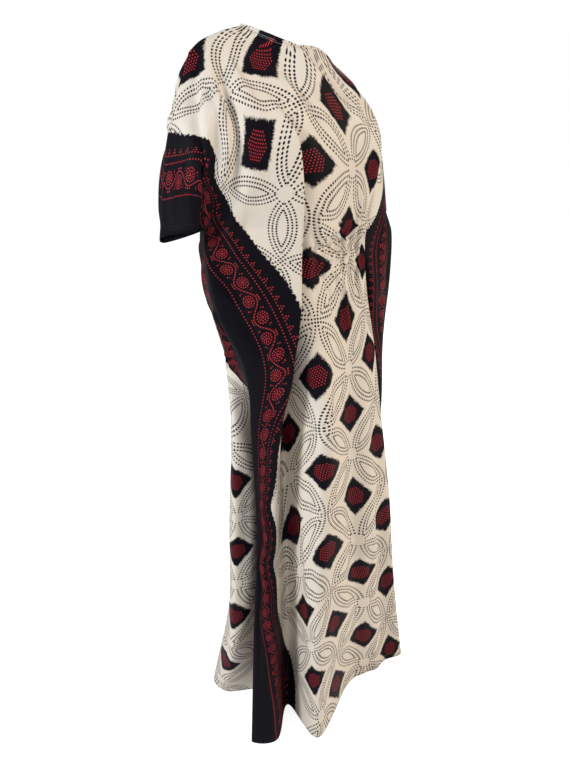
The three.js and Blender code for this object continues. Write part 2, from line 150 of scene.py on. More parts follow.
BACK_LEFT: tuple[Section, ...] = (
    (1410, ((0, 66, 1409), (60, 62, 1406), (94, 32, 1404), (122, 38, 1397), (142, 40, 1388),
            (162, 41, 1377), (180, 42, 1364), (200, 42, 1348))),
    (1335, ((0, 84), (52, 89), (100, 88), (134, 84), (150, 78, 1330), (170, 70, 1318), (192, 56, 1305),
            (214, 24, 1288))),
    (1262, ((0, 86), (52, 97), (108, 93), (152, 56), (136, 100), (192, 86), (214, 66), (234, 26))),
    (1190, ((0, 80), (50, 92), (102, 88), (162, 34), (132, 102), (206, 76), (234, 64), (258, 28))),
    (1120, ((0, 72), (48, 83), (96, 82), (160, 16), (132, 102), (248, -26), (254, 62, 1094),
            (282, 34, 1110))),
    (1075, ((0, 68), (46, 79), (94, 80), (158, 14), (134, 102), (278, -22))),
    (980, ((0, 86), (48, 97), (98, 93), (150, 20), (140, 94), (296, -12))),
    (880, ((8, 104), (56, 102), (108, 88), (146, 62), (190, 30), (288, -12))),
    (750, ((18, 112), (66, 107), (122, 84), (190, 2), (104, -2), (222, -48))),
    (520, ((30, 118), (86, 114), (142, 92), (208, 4), (114, -6), (212, -44))),
    (270, ((40, 124), (102, 122), (162, 102), (232, 8), (136, -4), (234, -48))),
    (0, ((40, 142), (124, 150), (196, 122), (242, 52), (160, 4), (274, -56))),
)


@dataclass(frozen=True)
class Mark:
    """Spot on the worn form and the place of the flat cloth that lies there.

    The spot is given in lines from the middle and millimetres above the hem. Across and down are in metres of
    cloth, and a mark may leave one of them free.
    """

    place: float
    level: float
    across: float | None
    down: float | None


def crossing(place: float, level: float, column: int, row: int) -> Mark:
    """Mark of a crossing or opening of the printed lattice, counted from the first one down the middle."""
    return Mark(place, level, column * LATTICE, FIRST_OPENING + row * LATTICE)


def border_line(place: float, level: float, side: int, depth: float = 0.0) -> Mark:
    """Mark of a point on a border's inner edge, or on a line of the print at a depth from it."""
    return Mark(place, level, side * (BORDER_START + depth), None)


# Place, level, column and row of the lattice crossings and openings on the front.
FRONT_CROSSINGS: tuple[tuple[float, float, int, int], ...] = (
    (-0.31, 1300, 0, -1), (0.21, 1210, 0, 0), (0.34, 1108, 0, 1), (0.6, 1060, 0, 2), (0.19, 945, 0, 3),
    (0.0, 857, 0, 4), (-0.2, 764, 0, 5), (-0.07, 670, 0, 6), (0.0, 560, 0, 7), (0.03, 442, 0, 8),
    (0.0, 347, 0, 9), (0.05, 245, 0, 10), (0.1, 136, 0, 11),
    (-2.41, 1363, -1, -2), (-1.74, 1301, -1, -1), (-1.68, 1217, -1, 0), (-1.75, 1051, -1, 2),
    (-1.67, 965, -1, 3), (-1.9, 865, -1, 4), (-2.05, 772, -1, 5), (-1.92, 686, -1, 6), (-1.75, 589, -1, 7),
    (-1.69, 502, -1, 8), (-1.6, 397, -1, 9), (-1.53, 301, -1, 10), (-1.42, 108, -1, 12),
    (-6.88, 1393, -2, -3), (-5.29, 1328, -2, -2), (-4.55, 1237, -2, -1), (-4.26, 1171, -2, 0),
    (-2.74, 730, -2, 5), (-2.8, 631, -2, 6), (-2.7, 523, -2, 7), (-2.51, 425, -2, 8), (-2.38, 338, -2, 9),
    (-2.19, 262, -2, 10), (-2.1, 175, -2, 11), (-1.85, 62, -2, 12), (-4.87, 1183, -3, -1),
    (0.9, 1366, 1, -2), (1.33, 1209, 1, 0), (1.6, 1047, 1, 2), (1.35, 873, 1, 4), (1.32, 670, 1, 6),
    (1.41, 468, 1, 8), (1.49, 270, 1, 10), (1.4, 36, 1, 12),
    (5.1, 1328, 2, -2),
)
# Place and level of points on the inner edges of the borders.
RIGHT_WING_EDGE: tuple[Spot, ...] = (
    (-6.9, 1256), (-6.47, 1249), (-5.95, 1249), (-5.24, 1204), (-4.85, 1164), (-4.61, 1120), (-4.45, 1082),
    (-4.3, 1042), (-4.14, 1012), (-3.75, 960), (-3.5, 880), (-3.7, 800),
)
LEFT_WING_EDGE: tuple[Spot, ...] = (
    (6.9, 1256), (6.47, 1249), (5.95, 1249), (5.4, 1225), (4.8, 1170), (4.3, 1115), (3.8, 1075),
    (3.5, 1000), (3.4, 900),
)
FRONT_EDGE: tuple[Spot, ...] = ((4.07, 722), (4.3, 600), (4.1, 456), (3.75, 337), (3.2, 180), (2.75, 108))
CUFF_EDGE: tuple[Spot, ...] = ((6.9, 1256), (6.47, 1249))
# Place, level and depth of points on the dotted lines of the right border, and on those of either cuff.
RIGHT_WING_ROWS: tuple[tuple[float, float, float], ...] = (
    (-5.61, 1218, SECOND_ROW), (-4.94, 1143, SECOND_ROW), (-4.7, 1101, SECOND_ROW), (-4.54, 1059, SECOND_ROW),
    (-4.44, 1013, SECOND_ROW), (-5.3, 1169, LAST_ROW), (-4.93, 1064, LAST_ROW), (-4.79, 1036, LAST_ROW),
    (-4.73, 1014, LAST_ROW),
)
CUFF_ROWS: tuple[tuple[float, float, float], ...] = (
    (6.85, 1216, SECOND_ROW), (6.29, 1219, SECOND_ROW), (6.03, 1219, SECOND_ROW), (6.95, 1168, LAST_ROW),
    (6.36, 1170, LAST_ROW), (6.07, 1170, LAST_ROW),
)
CUFF_MARKS: tuple[Mark, ...] = tuple(
    border_line(side * place, level, side, depth) for side in SIDES for place, level, depth in CUFF_ROWS
)
FRONT_MARKS: tuple[Mark, ...] = (
    tuple(crossing(*row) for row in FRONT_CROSSINGS)
    + tuple(border_line(*spot, -1) for spot in RIGHT_WING_EDGE)
    + tuple(border_line(*spot, 1) for spot in LEFT_WING_EDGE)
    + tuple(border_line(place, level, -1, depth) for place, level, depth in RIGHT_WING_ROWS)
    + tuple(border_line(side * place, level, side) for side in SIDES for place, level in FRONT_EDGE)
    + CUFF_MARKS
)
# Place, level, across and down of points on the back that keep its print even.
BACK_SPOTS: tuple[tuple[float, float, float, float | None], ...] = (
    (-3.03, 638, -0.186, 0.921), (-3.11, 465, -0.186, 1.107), (-3.09, 296, -0.19, 1.293),
    (-3.0, 147, -0.2, None), (0.0, 1250, 0.0, 0.17), (0.0, 1000, 0.0, 0.41), (0.0, 750, 0.0, 0.76),
    (0.0, 460, 0.0, 1.1), (0.0, 200, 0.0, 1.38), (3.03, 638, 0.22, 0.91), (3.11, 465, 0.225, 1.09),
    (3.09, 296, 0.23, 1.28),
)
BACK_MARKS: tuple[Mark, ...] = (
    CUFF_MARKS
    + tuple(border_line(side * place, level, side) for side in SIDES for place, level in CUFF_EDGE)
    + tuple(Mark(*row) for row in BACK_SPOTS)
)


class Side(Enum):
    """Which panel of the dress a grid belongs to."""

    FRONT = "front"
    BACK = "back"


@dataclass(frozen=True)
class Fold:
    """Soft fold that runs down a panel.

    Place and width are counted in lines from the middle, rise in millimetres, and top, peak and foot are the
    levels above the hem where it starts, is highest and ends.
    """

    at: float
    width: float
    rise: float
    top: float
    peak: float
    foot: float

    def height(self, place: np.ndarray, level: np.ndarray) -> np.ndarray:
        """Rise in metres at each place and level."""
        across = np.exp(-(((place - self.at) / self.width) ** 2))
        above = ease((self.top - level) / (self.top - self.peak))
        below = ease((level - self.foot) / (self.peak - self.foot))
        return self.rise * MM * across * np.where(level > self.peak, above, below)


FRONT_FOLDS: tuple[Fold, ...] = (
    Fold(-1.78, 0.13, 5, 1150, 1075, 960),
    Fold(-1.33, 0.13, 6, 1130, 1072, 980),
    Fold(-0.89, 0.13, 4, 1140, 1075, 930),
    Fold(-0.44, 0.13, 6, 1130, 1078, 990),
    Fold(0.0, 0.13, 5, 1125, 1074, 950),
    Fold(0.44, 0.13, 6, 1160, 1075, 980),
    Fold(0.89, 0.13, 5, 1130, 1071, 940),
    Fold(1.33, 0.13, 7, 1170, 1077, 990),
    Fold(1.78, 0.13, 6, 1150, 1075, 960),
    Fold(-1.2, 0.35, 7, 860, 300, -700),
    Fold(-0.3, 0.3, -6, 900, 250, -900),
    Fold(0.75, 0.32, 7, 820, 280, -800),
    Fold(1.3, 0.25, -6, 700, 150, -900),
)
BACK_FOLDS: tuple[Fold, ...] = (
    Fold(-1.67, 0.2, 5, 1150, 1075, 950),
    Fold(-1.0, 0.2, 6, 1130, 1072, 970),
    Fold(-0.33, 0.2, 5, 1140, 1076, 940),
    Fold(0.33, 0.2, 6, 1130, 1074, 980),
    Fold(1.0, 0.2, 5, 1145, 1075, 950),
    Fold(1.67, 0.2, 6, 1135, 1073, 960),
    Fold(-1.4, 0.3, 12, 900, 100, -900),
    Fold(-0.6, 0.3, -10, 880, 120, -900),
    Fold(0.1, 0.3, 12, 920, 80, -900),
    Fold(0.8, 0.3, -10, 860, 100, -900),
    Fold(1.5, 0.3, 11, 900, 120, -900),
)


LEVEL_STEP = 60.0  # millimetres of level that count as one line of place


def nearest_cloth(grid: Grid, place: float, level: float) -> np.ndarray:
    """Cloth point of a grid at the spot nearest to a place and level."""
    far = ((grid.place - place) ** 2) + ((grid.level - level) / LEVEL_STEP) ** 2
    far = np.where(grid.present, far, np.inf)
    return grid.cloth.reshape(-1, 2)[int(np.argmin(far))]


@dataclass(frozen=True)
class Drag:
    """Soft crease that runs over the cloth from one spot to another.

    Start and end are spots on the worn form, as place and level. Width and rise are in millimetres, and bend
    is how far the middle swings aside, in metres. A crease with an edge is steeper on one side.
    """

    start: Spot
    end: Spot
    width: float
    rise: float
    bend: float = 0.0
    edge: float = 0.0
    wander: ClassVar[float] = 0.25
    waves: ClassVar[float] = 9.0
    fullness: ClassVar[float] = 0.7

    def height(self, grid: Grid) -> np.ndarray:
        """Rise in metres at each point, tapered to nothing at both ends."""
        start, end = nearest_cloth(grid, *self.start), nearest_cloth(grid, *self.end)
        run = end - start
        length = float(np.linalg.norm(run))
        along = ((grid.cloth - start) @ run) / length**2
        side = ((grid.cloth - start) @ np.array([-run[1], run[0]])) / length
        side = side - self.bend * 4 * along * (1 - along)
        taper = np.clip(4 * along * (1 - along), 0, 1) ** self.fullness
        wander = 1 + self.wander * np.sin(along * self.waves + self.width)
        width = self.width * MM * wander * (1 + self.edge * np.tanh(side / (self.width * MM)))
        return self.rise * MM * taper * np.exp(-((side / width) ** 2))


RIGHT_DRAGS: tuple[Drag, ...] = (
    Drag((-5.45, 1402), (-5.3, 1170), 10, -12.0, 0.004, 0.3),
    Drag((-4.95, 1402), (-4.85, 1180), 13, 10.0, 0.004, -0.3),
    Drag((-6.0, 1400), (-5.98, 1300), 9, 6.0, 0.006),
    Drag((-6.5, 1392), (-6.2, 1250), 8, 5.0, -0.006, 0.3),
    Drag((-5.7, 1300), (-6.6, 1262), 7, 5.5, 0.004, 0.3),
    Drag((-6.3, 1240), (-6.1, 1130), 9, 5.0, 0.005),
    Drag((-6.7, 1215), (-6.6, 1125), 7, -4.0, 0.003),
    Drag((-2.6, 1400), (-4.41, 1265), 15, 8.5, 0.015, 0.2),
    Drag((-2.2, 1398), (-4.6, 1150), 18, -8.5, 0.02),
    Drag((-4.41, 1250), (-4.75, 1100), 12, 7.0, -0.006, 0.3),
    Drag((-2.4, 1350), (-1.9, 1120), 16, 8.5, -0.012, 0.2),
    Drag((-1.4, 1380), (-1.0, 1210), 14, -7.0, 0.01),
    Drag((-4.79, 1150), (-4.33, 957), 13, 8.5, 0.012, 0.3),
    Drag((-4.83, 1085), (-4.5, 900), 12, -8.5, 0.01, 0.3),
    Drag((-4.9, 1020), (-4.2, 860), 10, 7.5, -0.012, 0.2),
    Drag((-4.5, 960), (-4.12, 800), 9, 7.0, 0.01),
)
LEFT_DRAGS: tuple[Drag, ...] = (
    Drag((2.3, 1395), (4.3, 1270), 14, 7.5, -0.015, 0.2),
    Drag((4.9, 1398), (4.9, 1200), 11, -7.5, -0.004, 0.3),
    Drag((5.9, 1390), (5.9, 1290), 9, 6.0, -0.005),
    Drag((6.3, 1240), (6.1, 1130), 9, 5.0, -0.005),
    Drag((2.3, 1340), (1.9, 1130), 15, 7.5, 0.012, 0.2),
    Drag((4.7, 1140), (4.3, 950), 13, 8.5, -0.012, 0.3),
    Drag((4.8, 1060), (4.4, 890), 11, -7.5, -0.01, 0.3),
    Drag((4.6, 980), (4.2, 820), 10, 7.0, 0.01),
)
FRONT_DRAGS: tuple[Drag, ...] = RIGHT_DRAGS + LEFT_DRAGS + (
    Drag((-1.2, 1372), (0.45, 1285), 13, 6.0, -0.008, 0.2),
    Drag((-0.4, 1370), (0.6, 1310), 10, -5.0, 0.005),
    Drag((1.4, 1370), (0.6, 1270), 11, 5.0, 0.006),
    Drag((-1.98, 1082), (0.5, 1136), 7, 7.5, -0.006, 0.4),
    Drag((-1.95, 1076), (1.31, 1098), 8, -7.5, -0.004, 0.2),
    Drag((-1.9, 1070), (1.24, 1062), 7, 10.0, 0.004, 0.5),
    Drag((-0.55, 1076), (1.67, 1114), 8, 8.5, 0.006, 0.4),
    Drag((-1.75, 1062), (0.34, 985), 8, 7.0, -0.008, 0.2),
    Drag((-1.6, 1054), (-0.6, 940), 8, -6.0, -0.006),
    Drag((0.45, 1052), (0.39, 920), 8, 7.0, 0.006, 0.3),
    Drag((1.4, 1060), (0.9, 960), 8, -6.0, 0.006),
    Drag((-1.2, 1160), (-1.4, 1090), 8, 6.0, 0.003),
    Drag((0.9, 1170), (0.9, 1095), 8, 6.0, -0.003),
    Drag((-0.77, 990), (-1.41, 640), 20, 7.0, 0.01),
    Drag((1.0, 860), (1.09, 120), 24, 7.5, 0.012, 0.3),
    Drag((-0.3, 840), (-0.5, 240), 24, -7.0, -0.012),
    Drag((0.4, 620), (0.3, 60), 20, 7.0, 0.01),
    Drag((-1.2, 560), (-1.0, 40), 20, 7.0, -0.01, 0.2),
    Drag((-2.29, 780), (-2.1, 300), 12, 7.0, 0.006, 0.3),
    Drag((-4.3, 700), (-4.2, 260), 12, 6.0, 0.006, 0.2),
    Drag((-4.6, 620), (-4.6, 120), 9, -5.0, 0.004),
    Drag((4.4, 640), (4.3, 160), 12, 6.0, -0.006),
)
BACK_DRAGS: tuple[Drag, ...] = RIGHT_DRAGS + LEFT_DRAGS + (
    Drag((-2.6, 1390), (-0.5, 1290), 16, 7.0, -0.012, 0.2),
    Drag((2.6, 1390), (0.6, 1280), 16, 7.0, 0.012, 0.2),
    Drag((-1.7, 1078), (0.8, 1120), 9, 7.5, -0.005, 0.4),
    Drag((1.6, 1072), (-0.9, 1050), 9, 7.0, 0.005, 0.4),
    Drag((-0.9, 1060), (-1.0, 900), 10, 7.0, 0.006),
    Drag((0.8, 1055), (0.9, 880), 10, 7.0, -0.006),
    Drag((-3.0, 760), (-3.1, 180), 14, 7.0, 0.01, 0.2),
    Drag((3.0, 760), (3.1, 200), 14, 7.0, -0.01, 0.2),
    Drag((-0.4, 800), (-0.6, 120), 24, 8.5, 0.014, 0.2),
    Drag((0.9, 780), (1.1, 100), 22, -8.5, -0.012),
)


def ease(t: np.ndarray) -> np.ndarray:
    """Smooth step from 0 to 1."""
    s = np.clip(t, 0.0, 1.0)
    return s * s * (3 - 2 * s)


def hermite(p: np.ndarray, m: np.ndarray, q: np.ndarray, n: np.ndarray, t: np.ndarray) -> np.ndarray:
    """Cubic through two points with their slopes.

    Args:
        p: start points.
        m: slopes at the start.
        q: end points.
        n: slopes at the end.
        t: share between them, one for each point.

    Returns:
        The points between.
    """
    t = t[..., None]
    t2, t3 = t * t, t * t * t
    return p * (2 * t3 - 3 * t2 + 1) + m * (t3 - 2 * t2 + t) + q * (3 * t2 - 2 * t3) + n * (t3 - t2)


@dataclass(frozen=True)
class Quarter:
    """One side of one panel, given by its sections."""

    sections: tuple[Section, ...]

    def knots(self, line: int) -> np.ndarray:
        """Points of a line at its sections, heights measured from the shoulders."""
        rows = [(level, points[line]) for level, points in self.sections if line < len(points)]
        out = [(p[0], p[1], (p[2] if len(p) > 2 else level) - SHOULDER_HEIGHT / MM) for level, p in rows]
        return np.array(out, float) * MM

    def line(self, line: int, section: np.ndarray, share: np.ndarray) -> np.ndarray:
        """Points of a line at the given rows.

        Args:
            line: index of the line.
            section: section above each row.
            share: share of the way to the next section.

        Returns:
            One point for each row that the line reaches; the rest repeat the line's last point.
        """
        points = self.knots(line)
        levels = np.array([level for level, _ in self.sections], float)[: len(points)]
        last = len(points) - 1
        before = np.maximum(np.arange(last + 1) - 1, 0)
        after = np.minimum(np.arange(last + 1) + 1, last)
        slope_up = (points[after] - points[before]) / (levels[after] - levels[before])[:, None]
        slope_down = slope_up.copy()
        if line == CREASE:
            c = CUFF_SECTION
            slope_up[c] = (points[c] - points[c - 1]) / (levels[c] - levels[c - 1])
            slope_down[c] = (points[c + 1] - points[c]) / (levels[c + 1] - levels[c])
        i = np.minimum(section, last)
        j = np.minimum(i + 1, last)
        run = (levels[j] - levels[i])[:, None]
        t = np.where(section > last, 0.0, share)
        return hermite(points[i], slope_down[i] * run, points[j], slope_up[j] * run, t)


@dataclass
class Grid:
    """Points of a panel in rows, with the columns that a row lacks marked absent."""

    points: np.ndarray
    place: np.ndarray
    level: np.ndarray
    present: np.ndarray
    faces: np.ndarray = field(default_factory=lambda: np.zeros((0, 4), int))
    cloth: np.ndarray = field(default_factory=lambda: np.zeros((0, 0, 2)))

    def normals(self) -> np.ndarray:
        """Unit normal at each point."""
        return point_normals(self.points.reshape(-1, 3), self.faces).reshape(self.points.shape)


@dataclass(frozen=True)
class DressForm:
    """The shape of the whole dress, worked out from its sections."""

    row_steps: tuple[int, ...] = (14, 13, 12, 12, 8, 16, 17, 20, 32, 34, 36)
    column_steps: tuple[int, ...] = (12, 14, 16, 14, 18, 6, 10)
    half_width: float = 0.44
    length: float = 1.5

    def rows(self) -> tuple[np.ndarray, np.ndarray]:
        """Section and share of every row from the shoulders to the hem."""
        section = [i for i, n in enumerate(self.row_steps) for _ in range(n)] + [len(self.row_steps)]
        share = [k / n for n in self.row_steps for k in range(n)] + [0.0]
        return np.array(section), np.array(share)

    def sleeve_rows(self) -> np.ndarray:
        """Whether each row reaches out along the sleeve."""
        section, share = self.rows()
        return (section < CUFF_SECTION) | ((section == CUFF_SECTION) & (share == 0))

    def half(self, side: Quarter, other: Quarter, opposite: Quarter) -> np.ndarray:
        """Points of one side of a panel, from its middle to its arm line.

        Args:
            side: the quarter that is built.
            other: the quarter beyond the middle.
            opposite: the quarter beyond the side seam.

        Returns:
            Array of rows, columns and xyz.
        """
        section, share = self.rows()
        lines = np.stack([side.line(k, section, share) for k in range(ARM + 1)], axis=1)
        middle = other.line(1, section, share)
        sleeve = opposite.line(ARM - 1, section, share)
        seam = opposite.line(CREASE - 1, section, share)
        slopes = np.empty_like(lines)
        slopes[:, 0] = (lines[:, 1] - middle) / 2
        slopes[:, 1:-1] = (lines[:, 2:] - lines[:, :-2]) / 2
        slopes[:, ARM] = (sleeve - lines[:, ARM - 1]) / 2
        below = ease(section + share - CUFF_SECTION)[:, None]
        out = (lines[:, CREASE] - lines[:, CREASE - 1]) / 2
        turn = (seam - lines[:, CREASE - 1]) / 2 * SEAM_ROUND
        seamed = out * (1 - below) + turn * below
        slopes[:, CREASE] = np.where(self.sleeve_rows()[:, None], slopes[:, CREASE], seamed)
        columns = []
        for k, steps in enumerate(self.column_steps):
            for i in range(steps):
                start, end = slopes[:, k].copy(), slopes[:, k + 1].copy()
                straight = lines[0, k + 1] - lines[0, k]
                if k == RIDGE:
                    start[0] = straight
                if k + 1 == RIDGE:
                    end[0] = straight
                t = np.full(len(section), i / steps)
                columns.append(hermite(lines[:, k], start, lines[:, k + 1], end, t))
        columns.append(lines[:, ARM])
        return np.stack(columns, axis=1)

    def panel(self, right: Quarter, left: Quarter, far_right: Quarter, far_left: Quarter) -> Grid:
        """Grid of a panel from its right side to its left."""
        section, share = self.rows()
        a = self.half(right, left, far_right)
        b = self.half(left, right, far_left)
        points = np.concatenate([a[:, :0:-1], b], axis=1)
        half = np.array([k + i / n for k, n in enumerate(self.column_steps) for i in range(n)] + [float(ARM)])
        place = np.concatenate([-half[:0:-1], half])
        levels = np.array([level for level, _ in right.sections], float)
        following = np.minimum(section + 1, len(levels) - 1)
        level = levels[section] * (1 - share) + levels[following] * share
        present = self.sleeve_rows()[:, None] | (np.abs(place)[None, :] <= CREASE + 1e-9)
        grid = Grid(points, np.broadcast_to(place, points.shape[:2]).copy(),
                    np.broadcast_to(level[:, None], points.shape[:2]).copy(), present)
        grid.faces = self.faces(grid)
        return grid

    def faces(self, grid: Grid) -> np.ndarray:
        """Quads of a grid as flat point indices, wound from the front as seen from outside."""
        rows, columns = grid.present.shape
        index = np.arange(rows * columns).reshape(rows, columns)
        ok = grid.present[:-1, :-1] & grid.present[:-1, 1:] & grid.present[1:, :-1] & grid.present[1:, 1:]
        quads = np.stack([index[:-1, :-1], index[1:, :-1], index[1:, 1:], index[:-1, 1:]], axis=-1)
        return quads[ok]


def point_normals(points: np.ndarray, faces: np.ndarray) -> np.ndarray:
    """Unit normals at the points of a quad mesh."""
    p = points[faces]
    normal = np.cross(p[:, 2] - p[:, 0], p[:, 3] - p[:, 1])
    out = np.zeros_like(points)
    for k in range(4):
        for axis in range(3):
            out[:, axis] += np.bincount(faces[:, k], normal[:, axis], len(points))
    return out / np.maximum(np.linalg.norm(out, axis=1, keepdims=True), 1e-12)


@dataclass(frozen=True)
class FlatCloth:
    """Finds where each point of a draped panel lies on the flat cut cloth.

    Across and down are each spread as evenly as the cloth allows between the edges where they are known.
    """

    rounds: int = 900
    tie_limits: tuple[float, float] = (-2, 20)
    settled: float = 1e-14

    def weights(self, points: np.ndarray, faces: np.ndarray) -> tuple[np.ndarray, np.ndarray, np.ndarray]:
        """Pairs of joined points and how firmly each pair is tied."""
        tris = np.concatenate([faces[:, [0, 1, 2]], faces[:, [0, 2, 3]]])
        first, second, firm = [], [], []
        for k in range(3):
            i, j, o = tris[:, k], tris[:, (k + 1) % 3], tris[:, (k + 2) % 3]
            a, b = points[i] - points[o], points[j] - points[o]
            area = np.maximum(np.linalg.norm(np.cross(a, b), axis=1), 1e-9)
            first.append(i)
            second.append(j)
            firm.append(np.clip((a * b).sum(1) / area, *self.tie_limits) / 2)
        return np.concatenate(first), np.concatenate(second), np.concatenate(firm)

    def spread(self, points: np.ndarray, faces: np.ndarray, fixed: np.ndarray,
               start: np.ndarray) -> np.ndarray:
        """Value at each point, smooth between the fixed points.

        Args:
            points: draped points.
            faces: quads between them.
            fixed: which points keep their starting value.
            start: starting values.

        Returns:
            The values.
        """
        i, j, w = self.weights(points, faces)
        count = len(points)
        diagonal = np.bincount(i, w, count) + np.bincount(j, w, count)
        free = (~fixed) & (np.abs(diagonal) > 1e-12)
        scale = np.where(free, 1 / np.where(np.abs(diagonal) > 1e-12, diagonal, 1), 0)

        def pull(x: np.ndarray) -> np.ndarray:
            """Strain left at each free point."""
            y = diagonal * x - np.bincount(i, w * x[j], count) - np.bincount(j, w * x[i], count)
            return np.where(free, y, 0.0)

        value = start.astype(float).copy()
        rest = -pull(value)
        z = scale * rest
        step, energy = z.copy(), float(rest @ z)
        for _ in range(self.rounds):
            moved = pull(step)
            share = energy / max(float(step @ moved), 1e-30)
            value += share * step
            rest -= share * moved
            z = scale * rest
            fresh = float(rest @ z)
            if fresh < self.settled:
                break
            step = z + fresh / energy * step
            energy = fresh
        return value

    def lay(self, grid: Grid, form: DressForm) -> np.ndarray:
        """Across and down on the flat cloth for every point of a panel's grid."""
        shape = grid.present.shape
        points = grid.points.reshape(-1, 3)
        place, level = grid.place.ravel(), grid.level.ravel()
        present = grid.present.ravel()
        row = np.repeat(np.arange(shape[0]), shape[1])
        cuff_row = sum(form.row_steps[:CUFF_SECTION])
        arm = present & (np.abs(place) == ARM)
        cuff = (row == cuff_row) & (np.abs(place) >= CREASE)
        seam = (row > cuff_row) & (np.abs(place) == CREASE)
        outer = present & (cuff | seam)
        middle = place == 0
        across = np.sign(place) * form.half_width * np.minimum(np.abs(place) / CREASE, 1)
        across = np.where(outer, np.sign(place) * form.half_width, across)
        across = self.spread(points, grid.faces, outer | middle | ~present, across)
        top = (row == 0) & (np.abs(place) >= RIDGE)
        hem = row == shape[0] - 1
        down = np.maximum(form.length - level * MM, 0.0)
        down = np.where(top | arm, 0.0, np.where(hem, form.length, down))
        down = self.spread(points, grid.faces, top | arm | hem | ~present, down)
        return np.stack([across, down], axis=-1).reshape(*shape, 2)


@dataclass(frozen=True)
class ClothMarks:
    """Shifts the flat cloth smoothly so that it meets the marks on a panel."""

    marks: tuple[Mark, ...]
    give: float = 2e-4
    edge_from: float = 0.42
    top_reach: float = 0.36

    def bend(self, distance: np.ndarray) -> np.ndarray:
        """Thin-plate weight of a distance."""
        return distance**2 * np.log(np.maximum(distance, 1e-9))

    def shift(self, at: np.ndarray, values: np.ndarray, cloth: np.ndarray) -> np.ndarray:
        """Smooth field that takes the given values at the given cloth points.

        Args:
            at: cloth points of the marks.
            values: shift at each.
            cloth: cloth points where the field is wanted.

        Returns:
            The shift at each of them.
        """
        count = len(at)
        matrix = np.zeros((count + 3, count + 3))
        gaps = np.linalg.norm(at[:, None] - at[None], axis=2)
        matrix[:count, :count] = self.bend(gaps) + self.give * np.eye(count)
        matrix[:count, count] = 1
        matrix[:count, count + 1:] = at
        matrix[count:, :count] = matrix[:count, count:].T
        weights = np.linalg.solve(matrix, np.concatenate([values, np.zeros(3)]))
        flat = cloth.reshape(-1, 2)
        out = weights[count] + flat @ weights[count + 1:]
        for point, weight in zip(at, weights[:count]):
            out += weight * self.bend(np.linalg.norm(flat - point, axis=1))
        return out.reshape(cloth.shape[:-1])

    def apply(self, grid: Grid, form: DressForm) -> np.ndarray:
        """Cloth points of the grid, shifted onto the marks."""
        cloth = grid.cloth
        shifted = cloth.copy()
        edge = [(s * form.half_width, v) for s in SIDES for v in np.linspace(self.edge_from, form.length, 9)]
        top = [(u, 0.0) for u in np.linspace(-self.top_reach, self.top_reach, 7)]
        for axis, fixed in ((0, edge), (1, top)):
            at = [np.array(point) for point in fixed]
            values = [0.0] * len(fixed)
            for mark in self.marks:
                target = (mark.across, mark.down)[axis]
                if target is not None:
                    here = nearest_cloth(grid, mark.place, mark.level)
                    at.append(here)
                    values.append(target - here[axis])
            shifted[..., axis] += self.shift(np.array(at), np.array(values), cloth)
        return shifted


class Value:
    """A number flowing between shader nodes, which ordinary arithmetic joins."""

    def __init__(self, tree: bpy.types.NodeTree, socket: bpy.types.NodeSocket) -> None:
        """Keeps the tree and the socket that the number comes from."""
        self.tree = tree
        self.socket = socket

    def op(self, kind: str, *others: Value | float, clamp: bool = False) -> Value:
        """Result of a math node on this number and up to two others."""
        node = self.tree.nodes.new("ShaderNodeMath")
        node.operation = kind
        node.use_clamp = clamp
        for slot, item in zip(node.inputs, (self, *others)):
            if isinstance(item, Value):
                self.tree.links.new(item.socket, slot)
            else:
                slot.default_value = float(item)
        return Value(self.tree, node.outputs[0])

    def __add__(self, other: Value | float) -> Value:
        """Sum."""
        return self.op("ADD", other)

    def __sub__(self, other: Value | float) -> Value:
        """Difference."""
        return self.op("SUBTRACT", other)

    def __mul__(self, other: Value | float) -> Value:
        """Product."""
        return self.op("MULTIPLY", other)

    def __truediv__(self, other: Value | float) -> Value:
        """Quotient."""
        return self.op("DIVIDE", other)

    def abs(self) -> Value:
        """Size without sign."""
        return self.op("ABSOLUTE")

    def round(self) -> Value:
        """Nearest whole number."""
        return (self + 0.5).op("FLOOR")

    def fract(self) -> Value:
        """Part after the point, also below zero."""
        return self - self.op("FLOOR")

    def low(self, other: Value | float) -> Value:
        """Smaller of two."""
        return self.op("MINIMUM", other)

    def high(self, other: Value | float) -> Value:
        """Larger of two."""
        return self.op("MAXIMUM", other)

    def within(self, edge: Value | float, soft: float) -> Value:
        """1 where the number is under the edge, 0 over it, with a soft step between."""
        return ((Value.as_value(self, edge) - self) / soft + 0.5).op("ADD", 0.0, clamp=True)

    def as_value(self, item: Value | float) -> Value:
        """The item as a number in this tree."""
        if isinstance(item, Value):
            return item
        node = self.tree.nodes.new("ShaderNodeValue")
        node.outputs[0].default_value = float(item)
        return Value(self.tree, node.outputs[0])

    def length(self, other: Value) -> Value:
        """Length of the vector made of two numbers."""
        return (self * self + other * other).op("SQRT")


